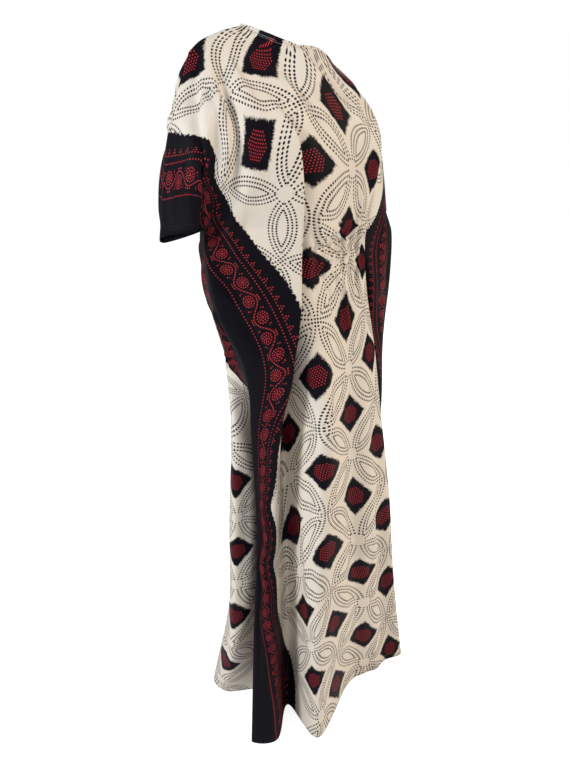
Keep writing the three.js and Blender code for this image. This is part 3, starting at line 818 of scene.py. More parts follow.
class PrintGroup:
    """Base of the shared shader groups: builds a node tree with named inputs and outputs."""

    name = "print"
    inputs: tuple[tuple[str, float], ...] = ()
    outputs: tuple[str, ...] = ()

    def __init__(self) -> None:
        """Makes the group's tree and lets the subclass fill it."""
        self.tree = bpy.data.node_groups.new(self.name, "ShaderNodeTree")
        for label, value in self.inputs:
            socket = self.tree.interface.new_socket(label, in_out="INPUT", socket_type="NodeSocketFloat")
            socket.default_value = value
        for label in self.outputs:
            self.tree.interface.new_socket(label, in_out="OUTPUT", socket_type="NodeSocketFloat")
        self.source = self.tree.nodes.new("NodeGroupInput")
        self.sink = self.tree.nodes.new("NodeGroupOutput")
        self.fill()

    def take(self, label: str) -> Value:
        """Number that comes in under a name."""
        return Value(self.tree, self.source.outputs[label])

    def give(self, label: str, value: Value) -> None:
        """Sends a number out under a name."""
        self.tree.links.new(value.socket, self.sink.inputs[label])

    def noise(self, x: Value, y: Value, scale: float, detail: float = 1.0) -> Value:
        """Soft noise from 0 to 1 over two numbers."""
        join = self.tree.nodes.new("ShaderNodeCombineXYZ")
        self.tree.links.new(x.socket, join.inputs[0])
        self.tree.links.new(y.socket, join.inputs[1])
        node = self.tree.nodes.new("ShaderNodeTexNoise")
        node.noise_dimensions = "3D"
        node.inputs["Scale"].default_value = scale
        node.inputs["Detail"].default_value = detail
        self.tree.links.new(join.outputs[0], node.inputs["Vector"])
        return Value(self.tree, node.outputs["Fac"])

    def fill(self) -> None:
        """Builds the nodes between the inputs and outputs."""
        raise NotImplementedError


class PetalPrint(PrintGroup):
    """Lattice of dotted petals with a brushed block and a cluster of dots in each opening."""

    name = "petal_print"
    inputs = (("Across", 0.0), ("Down", 0.0), ("Pitch", 0.1315), ("Dot", 0.0019))
    outputs = ("Line", "Block", "Cluster", "Heart")
    ring_gap = 0.0072
    ring_first = 0.0026
    last_ring = 2.0
    dots_per_side = 12
    unevenness = 0.0011
    dot_edge = 0.0007
    blank_corner = 0.0115
    block_half = 0.0308
    block_reach = 0.234
    block_edge = 0.0016
    # Noise scale and length of the hairs and of the slower unevenness of a block's edge, and their mean.
    hair_scale, hair_length = 150.0, 0.017
    broad_scale, broad_length = 16.0, 0.006
    edge_mean = 0.0128
    cluster_radius = 0.0203
    cluster_gap = 0.0047
    row_share = 0.87
    cluster_dot = 0.00125
    heart_dot = 0.0005
    fine_edge = 0.0005

    def fill(self) -> None:
        """Charts the petals on cells turned half a right angle to the grain."""
        across, down = self.take("Across"), self.take("Down") - FIRST_OPENING
        pitch, dot = self.take("Pitch"), self.take("Dot")
        half = math.sqrt(0.5)
        p, q = (across + down) * half / pitch, (across - down) * half / pitch
        a, b = p.fract() - 0.5, q.fract() - 0.5
        long, short = a.abs().high(b.abs()), a.abs().low(b.abs())
        self.give("Line", self.petals(p, q, long, short, pitch, dot))
        near = across.abs().within(self.block_reach, 0.001)
        self.give("Block", self.block(p, q, a, b, pitch) * near)
        cluster, heart = self.cluster(a * pitch, b * pitch)
        self.give("Cluster", cluster)
        self.give("Heart", heart)

    def petals(self, p: Value, q: Value, long: Value, short: Value, pitch: Value, dot: Value) -> Value:
        """Three rows of dots inside each petal's outline."""
        reach = (long * -1.0 + 1.0).length(short)
        inside = (reach * -1.0 + math.sqrt(0.5)) * pitch - self.ring_first
        ring = (inside / self.ring_gap).round().high(0.0).low(self.last_ring)
        radial = inside - ring * self.ring_gap
        step = math.pi / 4 / self.dots_per_side
        angle = short.op("ARCTAN2", long * -1.0 + 1.0)
        along = ((angle / step).fract() - 0.5) * step * reach * pitch
        spread = self.noise(p, q, 9.0, 2.0) * self.unevenness - self.unevenness / 2
        dots = radial.length(along).within(dot + spread, self.dot_edge)
        even = ((p.round() + q.round()) * 0.5).fract().within(0.25, 0.01)
        corner = (long * -1.0 + 0.5).length(short * -1.0 + 0.5) * pitch
        blank = corner.within(self.blank_corner, 0.001) * even
        return dots * (blank * -1.0 + 1.0)

    def block(self, p: Value, q: Value, a: Value, b: Value, pitch: Value) -> Value:
        """Block with hairs brushed out of its edges, square to each side."""
        sideways = (b.abs() - a.abs()).within(0.0, 0.004)
        along = sideways * b + (sideways * -1.0 + 1.0) * a
        out = sideways * a + (sideways * -1.0 + 1.0) * b
        turn = out.op("SIGN") * 3.0 + sideways * 7.0 + p.round() * 1.7 + q.round() * 0.9
        hairs = self.noise(along, turn, self.hair_scale, 1.5)
        broad = self.noise(p, q, self.broad_scale, 1.0)
        edge = hairs * self.hair_length + broad * self.broad_length + (self.block_half - self.edge_mean)
        return (a.abs().high(b.abs()) * pitch).within(edge, self.block_edge)

    def cluster(self, x: Value, y: Value) -> tuple[Value, Value]:
        """Round cluster of dots and their paler hearts."""
        gap, rise = self.cluster_gap, self.cluster_gap * self.row_share
        row = (y / rise).round()
        shift = (row * 0.5).fract() * gap
        column = ((x - shift) / gap).round()
        cx, cy = column * gap + shift, row * rise
        spread = (x - cx).length(y - cy)
        inside = cx.length(cy).within(self.cluster_radius, 0.0004)
        dots = spread.within(self.cluster_dot, self.fine_edge) * inside
        return dots, spread.within(self.heart_dot, self.fine_edge) * inside


class BorderPrint(PrintGroup):
    """Dark border with dotted triangles, three dotted lines and a dotted running scroll.

    Depths are in metres from the border's inner edge.
    """

    name = "border_print"
    inputs = (("Inward", 0.0), ("Down", 0.0), ("Width", 0.14))
    outputs = ("Ground", "Dots", "Heart")
    dot_step = 0.0046
    row_step = 0.0058
    first_row = 0.031
    triangle_gap = 0.0044
    triangle_slack = 1.6
    scroll_middle = 0.0685
    scroll_period = 0.0688
    scroll_swing = 0.0115
    scroll_dots = 18
    curl_shift = 0.0048
    # Radius and number of dots of each ring of a curl.
    curl_rings = ((0.0098, 14), (0.0056, 8), (0.0018, 3))
    # Loose dots of a curl: towards the scroll's bend from its middle, and along the border to both sides.
    loose_dots = ((-0.0155, 0.0042), (-0.0158, 0.0), (0.0135, 0.0152), (0.0098, 0.0172))
    stroke_length = 0.009
    stroke_start = 0.0065
    scallop_step, scallop_depth = 0.0124, 0.003
    ground_edge = 0.0012
    printed_share = 0.7
    dot, dot_edge = 0.00135, 0.0005
    heart_dot = 0.0006

    def row_dots(self, depth: Value, down: Value, at: float) -> Value:
        """Distance to the nearest dot of a straight row."""
        along = ((down / self.row_step).fract() - 0.5) * self.row_step
        return (depth - at).length(along)

    def triangles(self, depth: Value, down: Value) -> Value:
        """Distance to the nearest dot of a row of small triangles."""
        gap, step = self.triangle_gap, self.dot_step
        period = step * 4
        row = ((depth * -1.0 + self.first_row) / gap).round().high(1.0).low(3.0)
        shift = (row * 0.5).fract() * step
        centre = ((down - shift) / step).round() * step + shift
        far = ((depth + row * gap) - self.first_row).length(down - centre)
        middle = ((centre / period).fract() - 0.5).abs() * period
        over = (middle + row * (step / 2) - step * self.triangle_slack).high(0.0)
        return far + over * 10.0

    def ring(self, x: Value, y: Value, radius: float, count: int) -> Value:
        """Distance to the nearest dot of a ring."""
        far = x.length(y)
        step = 2 * math.pi / count
        along = ((y.op("ARCTAN2", x) / step).fract() - 0.5) * step * far
        return (far - radius).length(along)

    def scroll(self, depth: Value, down: Value) -> Value:
        """Distance to the nearest dot of the running scroll, its curls and the leaves outside."""
        turn = down * (2 * math.pi / self.scroll_period)
        wave = turn.op("SINE") * self.scroll_swing
        step = self.scroll_period / self.scroll_dots
        along = ((down / step).fract() - 0.5) * step
        slope = (turn.op("COSINE") * turn.op("COSINE") * 1.1 + 1.0).op("SQRT")
        nearest = ((depth - self.scroll_middle - wave) / slope).length(along)
        half = (down / (self.scroll_period / 2) - 0.5).round()
        side = (half * 0.5).fract() * 4.0 - 1.0
        y = down - (half + 0.5) * (self.scroll_period / 2)
        x = depth - self.scroll_middle
        curl = x - side * self.curl_shift
        for radius, count in self.curl_rings:
            nearest = nearest.low(self.ring(curl, y, radius, count))
        for out, beside in self.loose_dots:
            nearest = nearest.low((x - side * out).length(y.abs() - beside))
        return nearest

    def fill(self) -> None:
        """Charts the border from its inner edge to the edge of the cloth."""
        depth, down, width = self.take("Inward"), self.take("Down"), self.take("Width")
        strokes = self.noise(depth * 0.15, down, 900.0, 1.0)
        scallop = (down * (math.pi / self.scallop_step)).op("SINE").abs()
        edge = strokes * self.stroke_length - self.stroke_start - scallop * self.scallop_depth
        self.give("Ground", (depth * -1.0).within(edge * -1.0, self.ground_edge))
        nearest = self.triangles(depth, down).low(self.scroll(depth, down))
        for row in (self.first_row, SECOND_ROW, LAST_ROW):
            nearest = nearest.low(self.row_dots(depth, down, row))
        keep = depth.within(width * self.printed_share, 0.001)
        self.give("Dots", nearest.within(self.dot, self.dot_edge) * keep)
        self.give("Heart", nearest.within(self.heart_dot, self.heart_dot) * keep)


class WeaveRelief(PrintGroup):
    """Fine plain weave as a height, with soft slubs."""

    name = "weave_relief"
    inputs = (("Across", 0.0), ("Down", 0.0), ("Thread", 0.0007))
    outputs = ("Height", "Slub")
    slub_along, slub_across = 6.0, 60.0
    slub_scale = 30.0

    def fill(self) -> None:
        """Crosses two sets of threads and adds slubs along each."""
        across, down, thread = self.take("Across"), self.take("Down"), self.take("Thread")
        warp = (across / thread * math.pi).op("SINE").abs()
        weft = (down / thread * math.pi).op("SINE").abs()
        slub = self.noise(across * self.slub_across, down * self.slub_along, self.slub_scale, 2.0)
        slub_weft = self.noise(across * self.slub_along, down * self.slub_across, self.slub_scale, 2.0)
        self.give("Height", warp * weft)
        self.give("Slub", (slub + slub_weft) * 0.5)


def mix_colours(tree: bpy.types.NodeTree, first: bpy.types.NodeSocket | Colour, second: Colour,
                factor: bpy.types.NodeSocket) -> bpy.types.NodeSocket:
    """Blend from a first colour, given or from a socket, to a second by a factor."""
    node = tree.nodes.new("ShaderNodeMix")
    node.data_type = "RGBA"
    tree.links.new(factor, node.inputs["Factor"])
    if isinstance(first, bpy.types.NodeSocket):
        tree.links.new(first, node.inputs[6])
    else:
        node.inputs[6].default_value = first
    node.inputs[7].default_value = second
    return node.outputs[2]


def shade(colour: Colour, share: float) -> Colour:
    """A darker form of a colour."""
    return tuple(part * share for part in colour[:3]) + (1.0,)


def add_bump(tree: bpy.types.NodeTree, height: bpy.types.NodeSocket, strength: float,
             distance: float) -> None:
    """Makes the surface of a tree's shader rise and fall with a height."""
    bump = tree.nodes.new("ShaderNodeBump")
    bump.inputs["Strength"].default_value = strength
    bump.inputs["Distance"].default_value = distance
    tree.links.new(height, bump.inputs["Height"])
    tree.links.new(bump.outputs[0], tree.nodes["Principled BSDF"].inputs["Normal"])


@dataclass(frozen=True)
class ClothFinish:
    """Printed cloth with a smooth face and a paler back."""

    name: str
    ground: Colour = (0.84, 0.755, 0.65, 1.0)
    ink: Colour = (0.006, 0.005, 0.008, 1.0)
    red: Colour = (0.36, 0.015, 0.026, 1.0)
    heart: Colour = (0.75, 0.22, 0.21, 1.0)
    slub_shade: float = 0.93
    heart_share: float = 0.4
    back_fade: float = 0.3
    roughness: float = 0.52
    gloss: float = 0.3
    ink_gloss: float = 0.06
    half_width: float = 0.44
    border: float = 0.14

    def group(self, tree: bpy.types.NodeTree, source: PrintGroup, **links: Value) -> dict[str, Value]:
        """Adds a shared group to a tree, links its inputs by name and gives its outputs by name."""
        node = tree.nodes.new("ShaderNodeGroup")
        node.node_tree = source.tree
        for label, value in links.items():
            tree.links.new(value.socket, node.inputs[label])
        return {label: Value(tree, node.outputs[label]) for label in source.outputs}

    def build(self, shared: SharedGroups) -> bpy.types.Material:
        """Makes the material, reading the flat cloth's own coordinates."""
        material = bpy.data.materials.new(self.name)
        material.use_nodes = True
        tree = material.node_tree
        shader = tree.nodes["Principled BSDF"]
        uv = tree.nodes.new("ShaderNodeUVMap")
        uv.uv_map = "cloth"
        split = tree.nodes.new("ShaderNodeSeparateXYZ")
        tree.links.new(uv.outputs[0], split.inputs[0])
        across, down = Value(tree, split.outputs[0]), Value(tree, split.outputs[1])
        inward = across.abs() - (self.half_width - self.border)
        petals = self.group(tree, shared.petals, Across=across, Down=down)
        border = self.group(tree, shared.border, Inward=inward, Down=down)
        weave = self.group(tree, shared.weave, Across=across, Down=down)
        ground = border["Ground"]
        clear = ground * -1.0 + 1.0
        block = petals["Block"] * clear
        reverse = Value(tree, tree.nodes.new("ShaderNodeNewGeometry").outputs["Backfacing"])
        colour = mix_colours(tree, shade(self.ground, self.slub_shade), self.ground, weave["Slub"].socket)
        for tint, mask in (
            (self.ink, petals["Line"] * clear),
            (self.ink, block),
            (self.red, petals["Cluster"] * block),
            (self.heart, petals["Heart"] * block * self.heart_share),
            (self.ink, ground),
            (self.red, border["Dots"] * ground),
            (self.heart, border["Heart"] * ground * self.heart_share),
            (self.ground, reverse * self.back_fade),
        ):
            colour = mix_colours(tree, colour, tint, mask.socket)
        tree.links.new(colour, shader.inputs["Base Color"])
        add_bump(tree, weave["Height"].socket, 0.25, 0.0002)
        shader.inputs["Roughness"].default_value = self.roughness
        gloss = ground.high(block) * (self.ink_gloss - self.gloss) + self.gloss
        tree.links.new(gloss.socket, shader.inputs["Specular IOR Level"])
        return material


@dataclass(frozen=True)
class PlainFinish:
    """Plain surface of one colour with a little unevenness; a glow is seen but lights nothing."""

    name: str
    colour: Colour
    roughness: float = 0.6
    grain: float = 900.0
    glow: float = 0.0
    dark_share: float = 0.85

    def build(self) -> bpy.types.Material:
        """Makes the material, reading Object coordinates."""
        material = bpy.data.materials.new(self.name)
        material.use_nodes = True
        tree = material.node_tree
        shader = tree.nodes["Principled BSDF"]
        coordinates = tree.nodes.new("ShaderNodeTexCoord")
        noise = tree.nodes.new("ShaderNodeTexNoise")
        noise.inputs["Scale"].default_value = self.grain
        tree.links.new(coordinates.outputs["Object"], noise.inputs["Vector"])
        colour = mix_colours(tree, shade(self.colour, self.dark_share), self.colour, noise.outputs["Fac"])
        tree.links.new(colour, shader.inputs["Base Color"])
        add_bump(tree, noise.outputs["Fac"], 0.3, 0.0003)
        shader.inputs["Roughness"].default_value = self.roughness
        shader.inputs["Emission Color"].default_value = (1.0, 1.0, 1.0, 1.0)
        if self.glow:
            seen = tree.nodes.new("ShaderNodeLightPath")
            strength = Value(tree, seen.outputs["Is Camera Ray"]) * self.glow
            tree.links.new(strength.socket, shader.inputs["Emission Strength"])
        return material


PALE_THREAD = PlainFinish("pale_thread", (0.80, 0.74, 0.64, 1.0))
DARK_THREAD = PlainFinish("dark_thread", (0.03, 0.028, 0.034, 1.0))


class SharedGroups:
    """Shader groups that several finishes use."""

    def __init__(self) -> None:
        """Builds each group once."""
        self.petals = PetalPrint()
        self.border = BorderPrint()
        self.weave = WeaveRelief()


def add_object(name: str, mesh: bpy.types.Mesh) -> bpy.types.Object:
    """Puts a mesh in the scene under a name."""
    item = bpy.data.objects.new(name, mesh)
    bpy.context.scene.collection.objects.link(item)
    return item


def shade_smooth(mesh: bpy.types.Mesh) -> None:
    """Smooth shading on every face."""
    mesh.polygons.foreach_set("use_smooth", [True] * len(mesh.polygons))


@dataclass
class Panel:
    """One panel of the dress: a thin printed shell over its fold lines."""

    side: Side
    grid: Grid
    folds: tuple[Fold, ...]
    drags: tuple[Drag, ...]
    marks: tuple[Mark, ...]
    wall: float = 0.0009
    turning: float = 0.014
    turned: float = 0.0009
    seam_hold: float = 0.3
    arm_hold: float = 0.4

    def shape(self, form: DressForm) -> None:
        """Raises the folds, lays the cloth flat and adds the creases drawn on it."""
        grid = self.grid
        if self.side is Side.BACK:
            grid.faces = grid.faces[:, ::-1]
        self.raise_by(sum(fold.height(grid.place, grid.level) for fold in self.folds))
        grid.cloth = FlatCloth().lay(grid, form)
        grid.cloth = ClothMarks(self.marks).apply(grid, form)
        self.raise_by(sum(drag.height(grid) for drag in self.drags))
        past_hem = grid.cloth[..., 1] - form.length + self.turning
        self.raise_by(self.turned * ease(past_hem / (0.3 * self.turning)))

    def raise_by(self, height: np.ndarray) -> None:
        """Moves points out along their normals, leaving the sewn edges in place."""
        grid = self.grid
        place = np.abs(grid.place)
        hold = ease((CREASE - place) / self.seam_hold)
        sleeve = (grid.level > CUFF_LEVEL) & (place > CREASE - self.seam_hold)
        hold = np.where(sleeve, ease((ARM - place) / self.arm_hold), hold)
        hold[0] = 0
        hold[1] *= 0.5
        grid.points = grid.points + grid.normals() * (height * hold)[..., None]

    def mesh(self, material: bpy.types.Material) -> bpy.types.Mesh:
        """Mesh of the panel with its flat cloth coordinates."""
        grid = self.grid
        used = np.unique(grid.faces)
        renumber = np.full(grid.present.size, -1)
        renumber[used] = np.arange(len(used))
        faces = renumber[grid.faces]
        mesh = bpy.data.meshes.new(self.side.value)
        mesh.from_pydata(grid.points.reshape(-1, 3)[used].tolist(), [], faces.tolist())
        layer = mesh.uv_layers.new(name="cloth")
        cloth = grid.cloth.reshape(-1, 2)[used]
        loops = np.empty(len(mesh.loops), int)
        mesh.loops.foreach_get("vertex_index", loops)
        layer.data.foreach_set("uv", cloth[loops].ravel())
        mesh.materials.append(material)
        shade_smooth(mesh)
        return mesh

    def build(self, form: DressForm, material: bpy.types.Material, slot: str) -> bpy.types.Object:
        piece = add_object(f"{self.side.value}_cloth", self.mesh(material))
        thick = piece.modifiers.new("wall", "SOLIDIFY")
        thick.thickness = self.wall
        thick.offset = 0.0
        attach(piece, "root")
        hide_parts(*(f"{self.side.value}_{part}" for part in ("bodice_right", "bodice_left", "skirt")))
        return piece


@dataclass(frozen=True)
class Binding:
    """Rolled strip round the neck edge."""

    height: float = 0.006
    gap: float = 0.0003
    half_wall: float = 0.0011
    corners: int = 10
    edge_round: float = 0.5
    face_round: float = 0.7

    def loop(self, front: np.ndarray, back: np.ndarray, grid: Grid) -> np.ndarray:
        """Values of the first row at the neck edge, along the front and back along the back."""
        neck = np.abs(grid.place[0]) <= RIDGE
        return np.concatenate([front[0][neck], back[0][neck][::-1][1:-1]])

    def turns(self) -> list[tuple[float, float]]:
        """Sine and cosine of the angle of each corner of the strip's section."""
        angles = [2 * math.pi * k / self.corners for k in range(self.corners)]
        return [(math.sin(angle), math.cos(angle)) for angle in angles]

    def build(self, front: Panel, back: Panel, material: bpy.types.Material) -> bpy.types.Object:
        """Builds the strip as a soft flattened tube that carries the cloth on."""
        points = self.loop(front.grid.points, back.grid.points, front.grid)
        normals = self.loop(front.grid.normals(), back.grid.normals(), front.grid)
        tangent = np.roll(points, -1, axis=0) - np.roll(points, 1, axis=0)
        rise = np.cross(normals, tangent)
        rise /= np.linalg.norm(rise, axis=1, keepdims=True)
        vertices, faces = [], []
        count = len(points)
        for sine, cosine in self.turns():
            up = self.gap + self.height / 2 * (1 + math.copysign(abs(cosine) ** self.edge_round, cosine))
            out = self.half_wall * math.copysign(abs(sine) ** self.face_round, sine)
            vertices.append(points + rise * up + normals * out)
        for k in range(self.corners):
            m = (k + 1) % self.corners
            for i in range(count):
                j = (i + 1) % count
                faces.append((k * count + i, m * count + i, m * count + j, k * count + j))
        mesh = bpy.data.meshes.new("neck_binding_strip")
        mesh.from_pydata(np.concatenate(vertices).tolist(), [], faces)
        cloth = self.loop(front.grid.cloth, back.grid.cloth, front.grid)
        layer, turns = mesh.uv_layers.new(name="cloth"), self.turns()
        for loop in mesh.loops:
            k, i = divmod(loop.vertex_index, count)
            layer.data[loop.index].uv = (cloth[i][0], cloth[i][1] - self.height * (0.5 + 0.5 * turns[k][1]))
        mesh.materials.append(material)
        shade_smooth(mesh)
        piece = add_object("neck_binding_strip", mesh)
        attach(piece, "root")
        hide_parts("neck_binding")
        return piece


@dataclass(frozen=True)
class Stitching:
    """Runs of stitches along lines on the cloth, laid by a geometry node group."""

    step: float = 0.0036
    length: float = 0.0024
    thickness: float = 0.0006
    seed: int = 7

    def tree(self) -> bpy.types.NodeTree:
        """Node group that sets one stitch at each step of every line."""
        tree = bpy.data.node_groups.new("stitches", "GeometryNodeTree")
        tree.interface.new_socket("Geometry", in_out="INPUT", socket_type="NodeSocketGeometry")
        for label in ("Step", "Length", "Thickness"):
            tree.interface.new_socket(label, in_out="INPUT", socket_type="NodeSocketFloat")
        tree.interface.new_socket("Seed", in_out="INPUT", socket_type="NodeSocketInt")
        tree.interface.new_socket("Material", in_out="INPUT", socket_type="NodeSocketMaterial")
        tree.interface.new_socket("Geometry", in_out="OUTPUT", socket_type="NodeSocketGeometry")
        make, link = tree.nodes.new, tree.links.new
        source, sink = make("NodeGroupInput"), make("NodeGroupOutput")
        curve, points = make("GeometryNodeMeshToCurve"), make("GeometryNodeResampleCurve")
        points.mode = "LENGTH"
        stitch, place = make("GeometryNodeMeshIcoSphere"), make("GeometryNodeInstanceOnPoints")
        stitch.inputs["Radius"].default_value = 0.5
        stitch.inputs["Subdivisions"].default_value = 1
        tangent, turn = make("GeometryNodeInputTangent"), make("FunctionNodeAlignRotationToVector")
        turn.axis = "Z"
        uneven, size = make("FunctionNodeRandomValue"), make("ShaderNodeCombineXYZ")
        uneven.data_type = "FLOAT"
        uneven.inputs[2].default_value, uneven.inputs[3].default_value = 0.85, 1.1
        long = make("ShaderNodeMath")
        long.operation = "MULTIPLY"
        real, paint = make("GeometryNodeRealizeInstances"), make("GeometryNodeSetMaterial")
        link(source.outputs["Geometry"], curve.inputs[0])
        link(curve.outputs[0], points.inputs["Curve"])
        link(source.outputs["Step"], points.inputs["Length"])
        link(points.outputs[0], place.inputs["Points"])
        link(stitch.outputs[0], place.inputs["Instance"])
        link(tangent.outputs[0], turn.inputs["Vector"])
        link(turn.outputs[0], place.inputs["Rotation"])
        link(source.outputs["Seed"], uneven.inputs["Seed"])
        link(source.outputs["Length"], long.inputs[0])
        link(uneven.outputs[1], long.inputs[1])
        link(source.outputs["Thickness"], size.inputs[0])
        link(source.outputs["Thickness"], size.inputs[1])
        link(long.outputs[0], size.inputs[2])
        link(size.outputs[0], place.inputs["Scale"])
        link(place.outputs[0], real.inputs[0])
        link(real.outputs[0], paint.inputs["Geometry"])
        link(source.outputs["Material"], paint.inputs["Material"])
        link(paint.outputs[0], sink.inputs[0])
        return tree

    def sew(self, name: str, lines: list[np.ndarray], tree: bpy.types.NodeTree,
            material: bpy.types.Material) -> bpy.types.Object:
        """Makes one piece of all the stitches along the lines.

        Args:
            name: name of the piece.
            lines: points of each line.
            tree: the node group.
            material: finish of the thread.

        Returns:
            The piece.
        """
        starts = np.cumsum([0] + [len(line) for line in lines])
        edges = [(int(start) + i, int(start) + i + 1) for start, line in zip(starts, lines)
                 for i in range(len(line) - 1)]
        mesh = bpy.data.meshes.new(name + "_lines")
        mesh.from_pydata(np.concatenate(lines).tolist(), edges, [])
        piece = add_object(name, mesh)
        layer = piece.modifiers.new("stitches", "NODES")
        layer.node_group = tree
        values = {"Step": self.step, "Length": self.length, "Thickness": self.thickness, "Seed": self.seed,
                  "Material": material}
        for item in tree.interface.items_tree:
            if item.in_out == "INPUT" and item.name in values:
                layer[item.identifier] = values[item.name]
        graph = bpy.context.evaluated_depsgraph_get()
        done = bpy.data.meshes.new_from_object(piece.evaluated_get(graph), depsgraph=graph)
        piece.modifiers.remove(layer)
        piece.data = done
        done.name = name
        shade_smooth(done)
        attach(piece, "root")
        return piece


@dataclass(frozen=True)
class SeamLines:
    """Lines that the hem, the cuffs and the neck are stitched along."""

    form: DressForm
    border: float = 0.302
    lift: float = 0.0007
    edge_rows: int = 2
    seam_gap: float = 0.05

    def line(self, panel: Panel, row: int, keep: np.ndarray) -> list[np.ndarray]:
        """Runs of points along a row of a panel, just off the cloth.

        Args:
            panel: the panel.
            row: index of the row.
            keep: which columns belong to the line.

        Returns:
            One array of points for each unbroken run.
        """
        grid = panel.grid
        points = grid.points[row] + grid.normals()[row] * self.lift
        breaks = np.flatnonzero(np.diff(keep.astype(int))) + 1
        runs = np.split(np.arange(len(keep)), breaks)
        return [points[run] for run in runs if keep[run[0]] and len(run) > 2]

    def hem(self, panel: Panel) -> tuple[int, np.ndarray, np.ndarray]:
        """Row that the hem is stitched along, and its columns on the pale ground and on the borders."""
        grid = panel.grid
        row = len(grid.points) - 1 - self.edge_rows
        middle = np.abs(grid.cloth[row, :, 0]) < self.border
        return row, middle & grid.present[row], ~middle & grid.present[row]

    def pale(self, panel: Panel) -> list[np.ndarray]:
        """Lines on the pale ground: the neck and the middle of the hem."""
        row, middle, _ = self.hem(panel)
        return self.line(panel, 1, np.abs(panel.grid.place[1]) <= RIDGE) + self.line(panel, row, middle)

    def dark(self, panel: Panel) -> list[np.ndarray]:
        """Lines on the borders: the sides of the hem and the cuffs."""
        row, _, sides = self.hem(panel)
        cuff = sum(self.form.row_steps[:CUFF_SECTION]) - self.edge_rows
        sleeve = np.abs(panel.grid.place[cuff]) > CREASE + self.seam_gap
        return self.line(panel, row, sides) + self.line(panel, cuff, sleeve)


@dataclass(frozen=True)
class Lamp:
    """Square light aimed at the middle of the dress."""

    name: str
    place: tuple[float, float, float]
    power: float
    size: float
    colour: tuple[float, float, float]
    target: ClassVar[tuple[float, float, float]] = (0.0, 0.0, -0.7)

    def build(self) -> None:
        """Adds the light to the scene."""
        data = bpy.data.lights.new(self.name, "AREA")
        data.energy = self.power
        data.size = self.size
        data.color = self.colour
        item = bpy.data.objects.new(self.name, data)
        item.location = self.place
        aim = Vector(self.target) - Vector(self.place)
        item.rotation_euler = aim.to_track_quat("-Z", "Y").to_euler()
        bpy.context.scene.collection.objects.link(item)


# Warm light on the front, cool window light on the right side and a rim behind.
LAMPS: tuple[Lamp, ...] = (
    Lamp("key", (1.9, -2.7, 1.3), 84.0, 0.9, (1.0, 0.86, 0.70)),
    Lamp("window", (-3.3, 0.3, 1.2), 92.0, 0.8, (0.94, 0.97, 1.0)),
    Lamp("rim", (2.6, 2.4, 1.4), 40.0, 2.0, (1.0, 1.0, 1.0)),
)


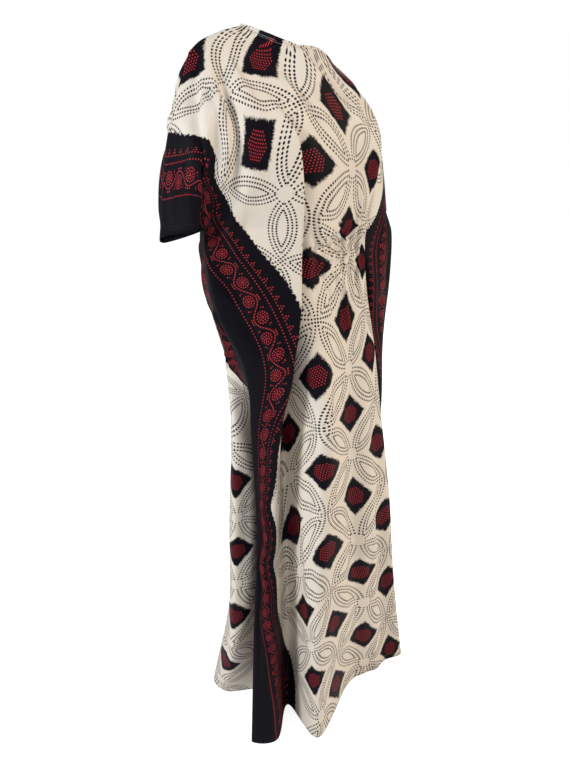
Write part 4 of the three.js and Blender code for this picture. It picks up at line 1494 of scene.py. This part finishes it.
@dataclass(frozen=True)
class Studio:
    """Pale floor, soft lights and the camera."""

    floor_level: float = -SHOULDER_HEIGHT
    camera_at: tuple[float, float, float] = (-0.792, -0.764, -0.20)
    heading: float = -45.0
    tilt: float = 21.0
    lens: float = 27.05
    sensor: float = 36.0
    surround: float = 0.3
    surround_tint: Colour = (0.93, 0.96, 1.0, 1.0)
    shown: float = 1.0
    white: Colour = (1.0, 1.0, 1.0, 1.0)
    floor_half: float = 12.0
    floor_gap: float = 0.002
    floor_paint: PlainFinish = PlainFinish("floor_paint", (0.92, 0.92, 0.92, 1.0), 0.8, 4.0, 0.85)

    def build(self) -> None:
        """Makes the stage."""
        bpy.context.scene.view_settings.view_transform = "Standard"
        self.floor()
        self.camera()
        self.world()
        for lamp in LAMPS:
            lamp.build()

    def floor(self) -> None:
        """Wide pale floor under the hem."""
        size, z = self.floor_half, self.floor_level - self.floor_gap
        mesh = bpy.data.meshes.new("floor")
        mesh.from_pydata([(-size, -size, z), (size, -size, z), (size, size, z), (-size, size, z)], [],
                         [(0, 1, 2, 3)])
        mesh.materials.append(self.floor_paint.build())
        add_object("floor", mesh)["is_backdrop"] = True

    def camera(self) -> None:
        """Camera that looks at the dress from its right front, tilted down."""
        data = bpy.data.cameras.new("camera")
        data.lens = self.lens
        data.sensor_width = self.sensor
        item = bpy.data.objects.new("camera", data)
        bpy.context.scene.collection.objects.link(item)
        turn = Matrix.Rotation(math.radians(self.heading), 4, "Z")
        look = Matrix.Rotation(math.radians(90.0 - self.tilt), 4, "X")
        item.matrix_world = Matrix.Translation(Vector(self.camera_at)) @ turn @ look
        bpy.context.scene.camera = item

    def world(self) -> None:
        """Soft surround, shown paler than it lights."""
        world = bpy.data.worlds.new("surround")
        world.use_nodes = True
        tree = world.node_tree
        seen = tree.nodes.new("ShaderNodeLightPath")
        soft = tree.nodes["Background"]
        soft.inputs[0].default_value = self.surround_tint
        soft.inputs[1].default_value = self.surround
        shown = tree.nodes.new("ShaderNodeBackground")
        shown.inputs[0].default_value = self.white
        shown.inputs[1].default_value = self.shown
        mix = tree.nodes.new("ShaderNodeMixShader")
        tree.links.new(seen.outputs["Is Camera Ray"], mix.inputs[0])
        tree.links.new(soft.outputs[0], mix.inputs[1])
        tree.links.new(shown.outputs[0], mix.inputs[2])
        tree.links.new(mix.outputs[0], tree.nodes["World Output"].inputs[0])
        bpy.context.scene.world = world


def corners() -> list[list[float]]:
    """Lowest and highest corner of what is shown, as plain lists."""
    return [list(corner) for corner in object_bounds()]


def log_piece(piece: bpy.types.Object) -> None:
    """Reports a piece once it is built."""
    LOG.info("%s: %d points", piece.name, len(piece.data.vertices))


def main() -> None:
    """Builds the dress in order and reports each piece."""
    logging.basicConfig(level=logging.INFO, format="%(name)s: %(message)s")
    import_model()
    Studio().build()
    form = DressForm()
    right, left = Quarter(FRONT_RIGHT), Quarter(FRONT_LEFT)
    far_right, far_left = Quarter(BACK_RIGHT), Quarter(BACK_LEFT)
    front_grid = form.panel(right, left, far_right, far_left)
    back_grid = form.panel(far_right, far_left, right, left)
    front = Panel(Side.FRONT, front_grid, FRONT_FOLDS, FRONT_DRAGS, FRONT_MARKS)
    back = Panel(Side.BACK, back_grid, BACK_FOLDS, BACK_DRAGS, BACK_MARKS)
    cloth = ClothFinish("printed_cloth").build(SharedGroups())
    for panel, slot in ((front, "front_cloth"), (back, "back_cloth")):
        panel.shape(form)
        log_piece(panel.build(form, cloth, slot))
    log_piece(Binding().build(front, back, cloth))
    stitching, lines = Stitching(), SeamLines(form)
    tree = stitching.tree()
    pale = lines.pale(front) + lines.pale(back)
    dark = lines.dark(front) + lines.dark(back)
    for name, runs, finish in (("pale_stitches", pale, PALE_THREAD), ("dark_stitches", dark, DARK_THREAD)):
        log_piece(stitching.sew(name, runs, tree, finish.build()))


if __name__ == "__main__":
    main()
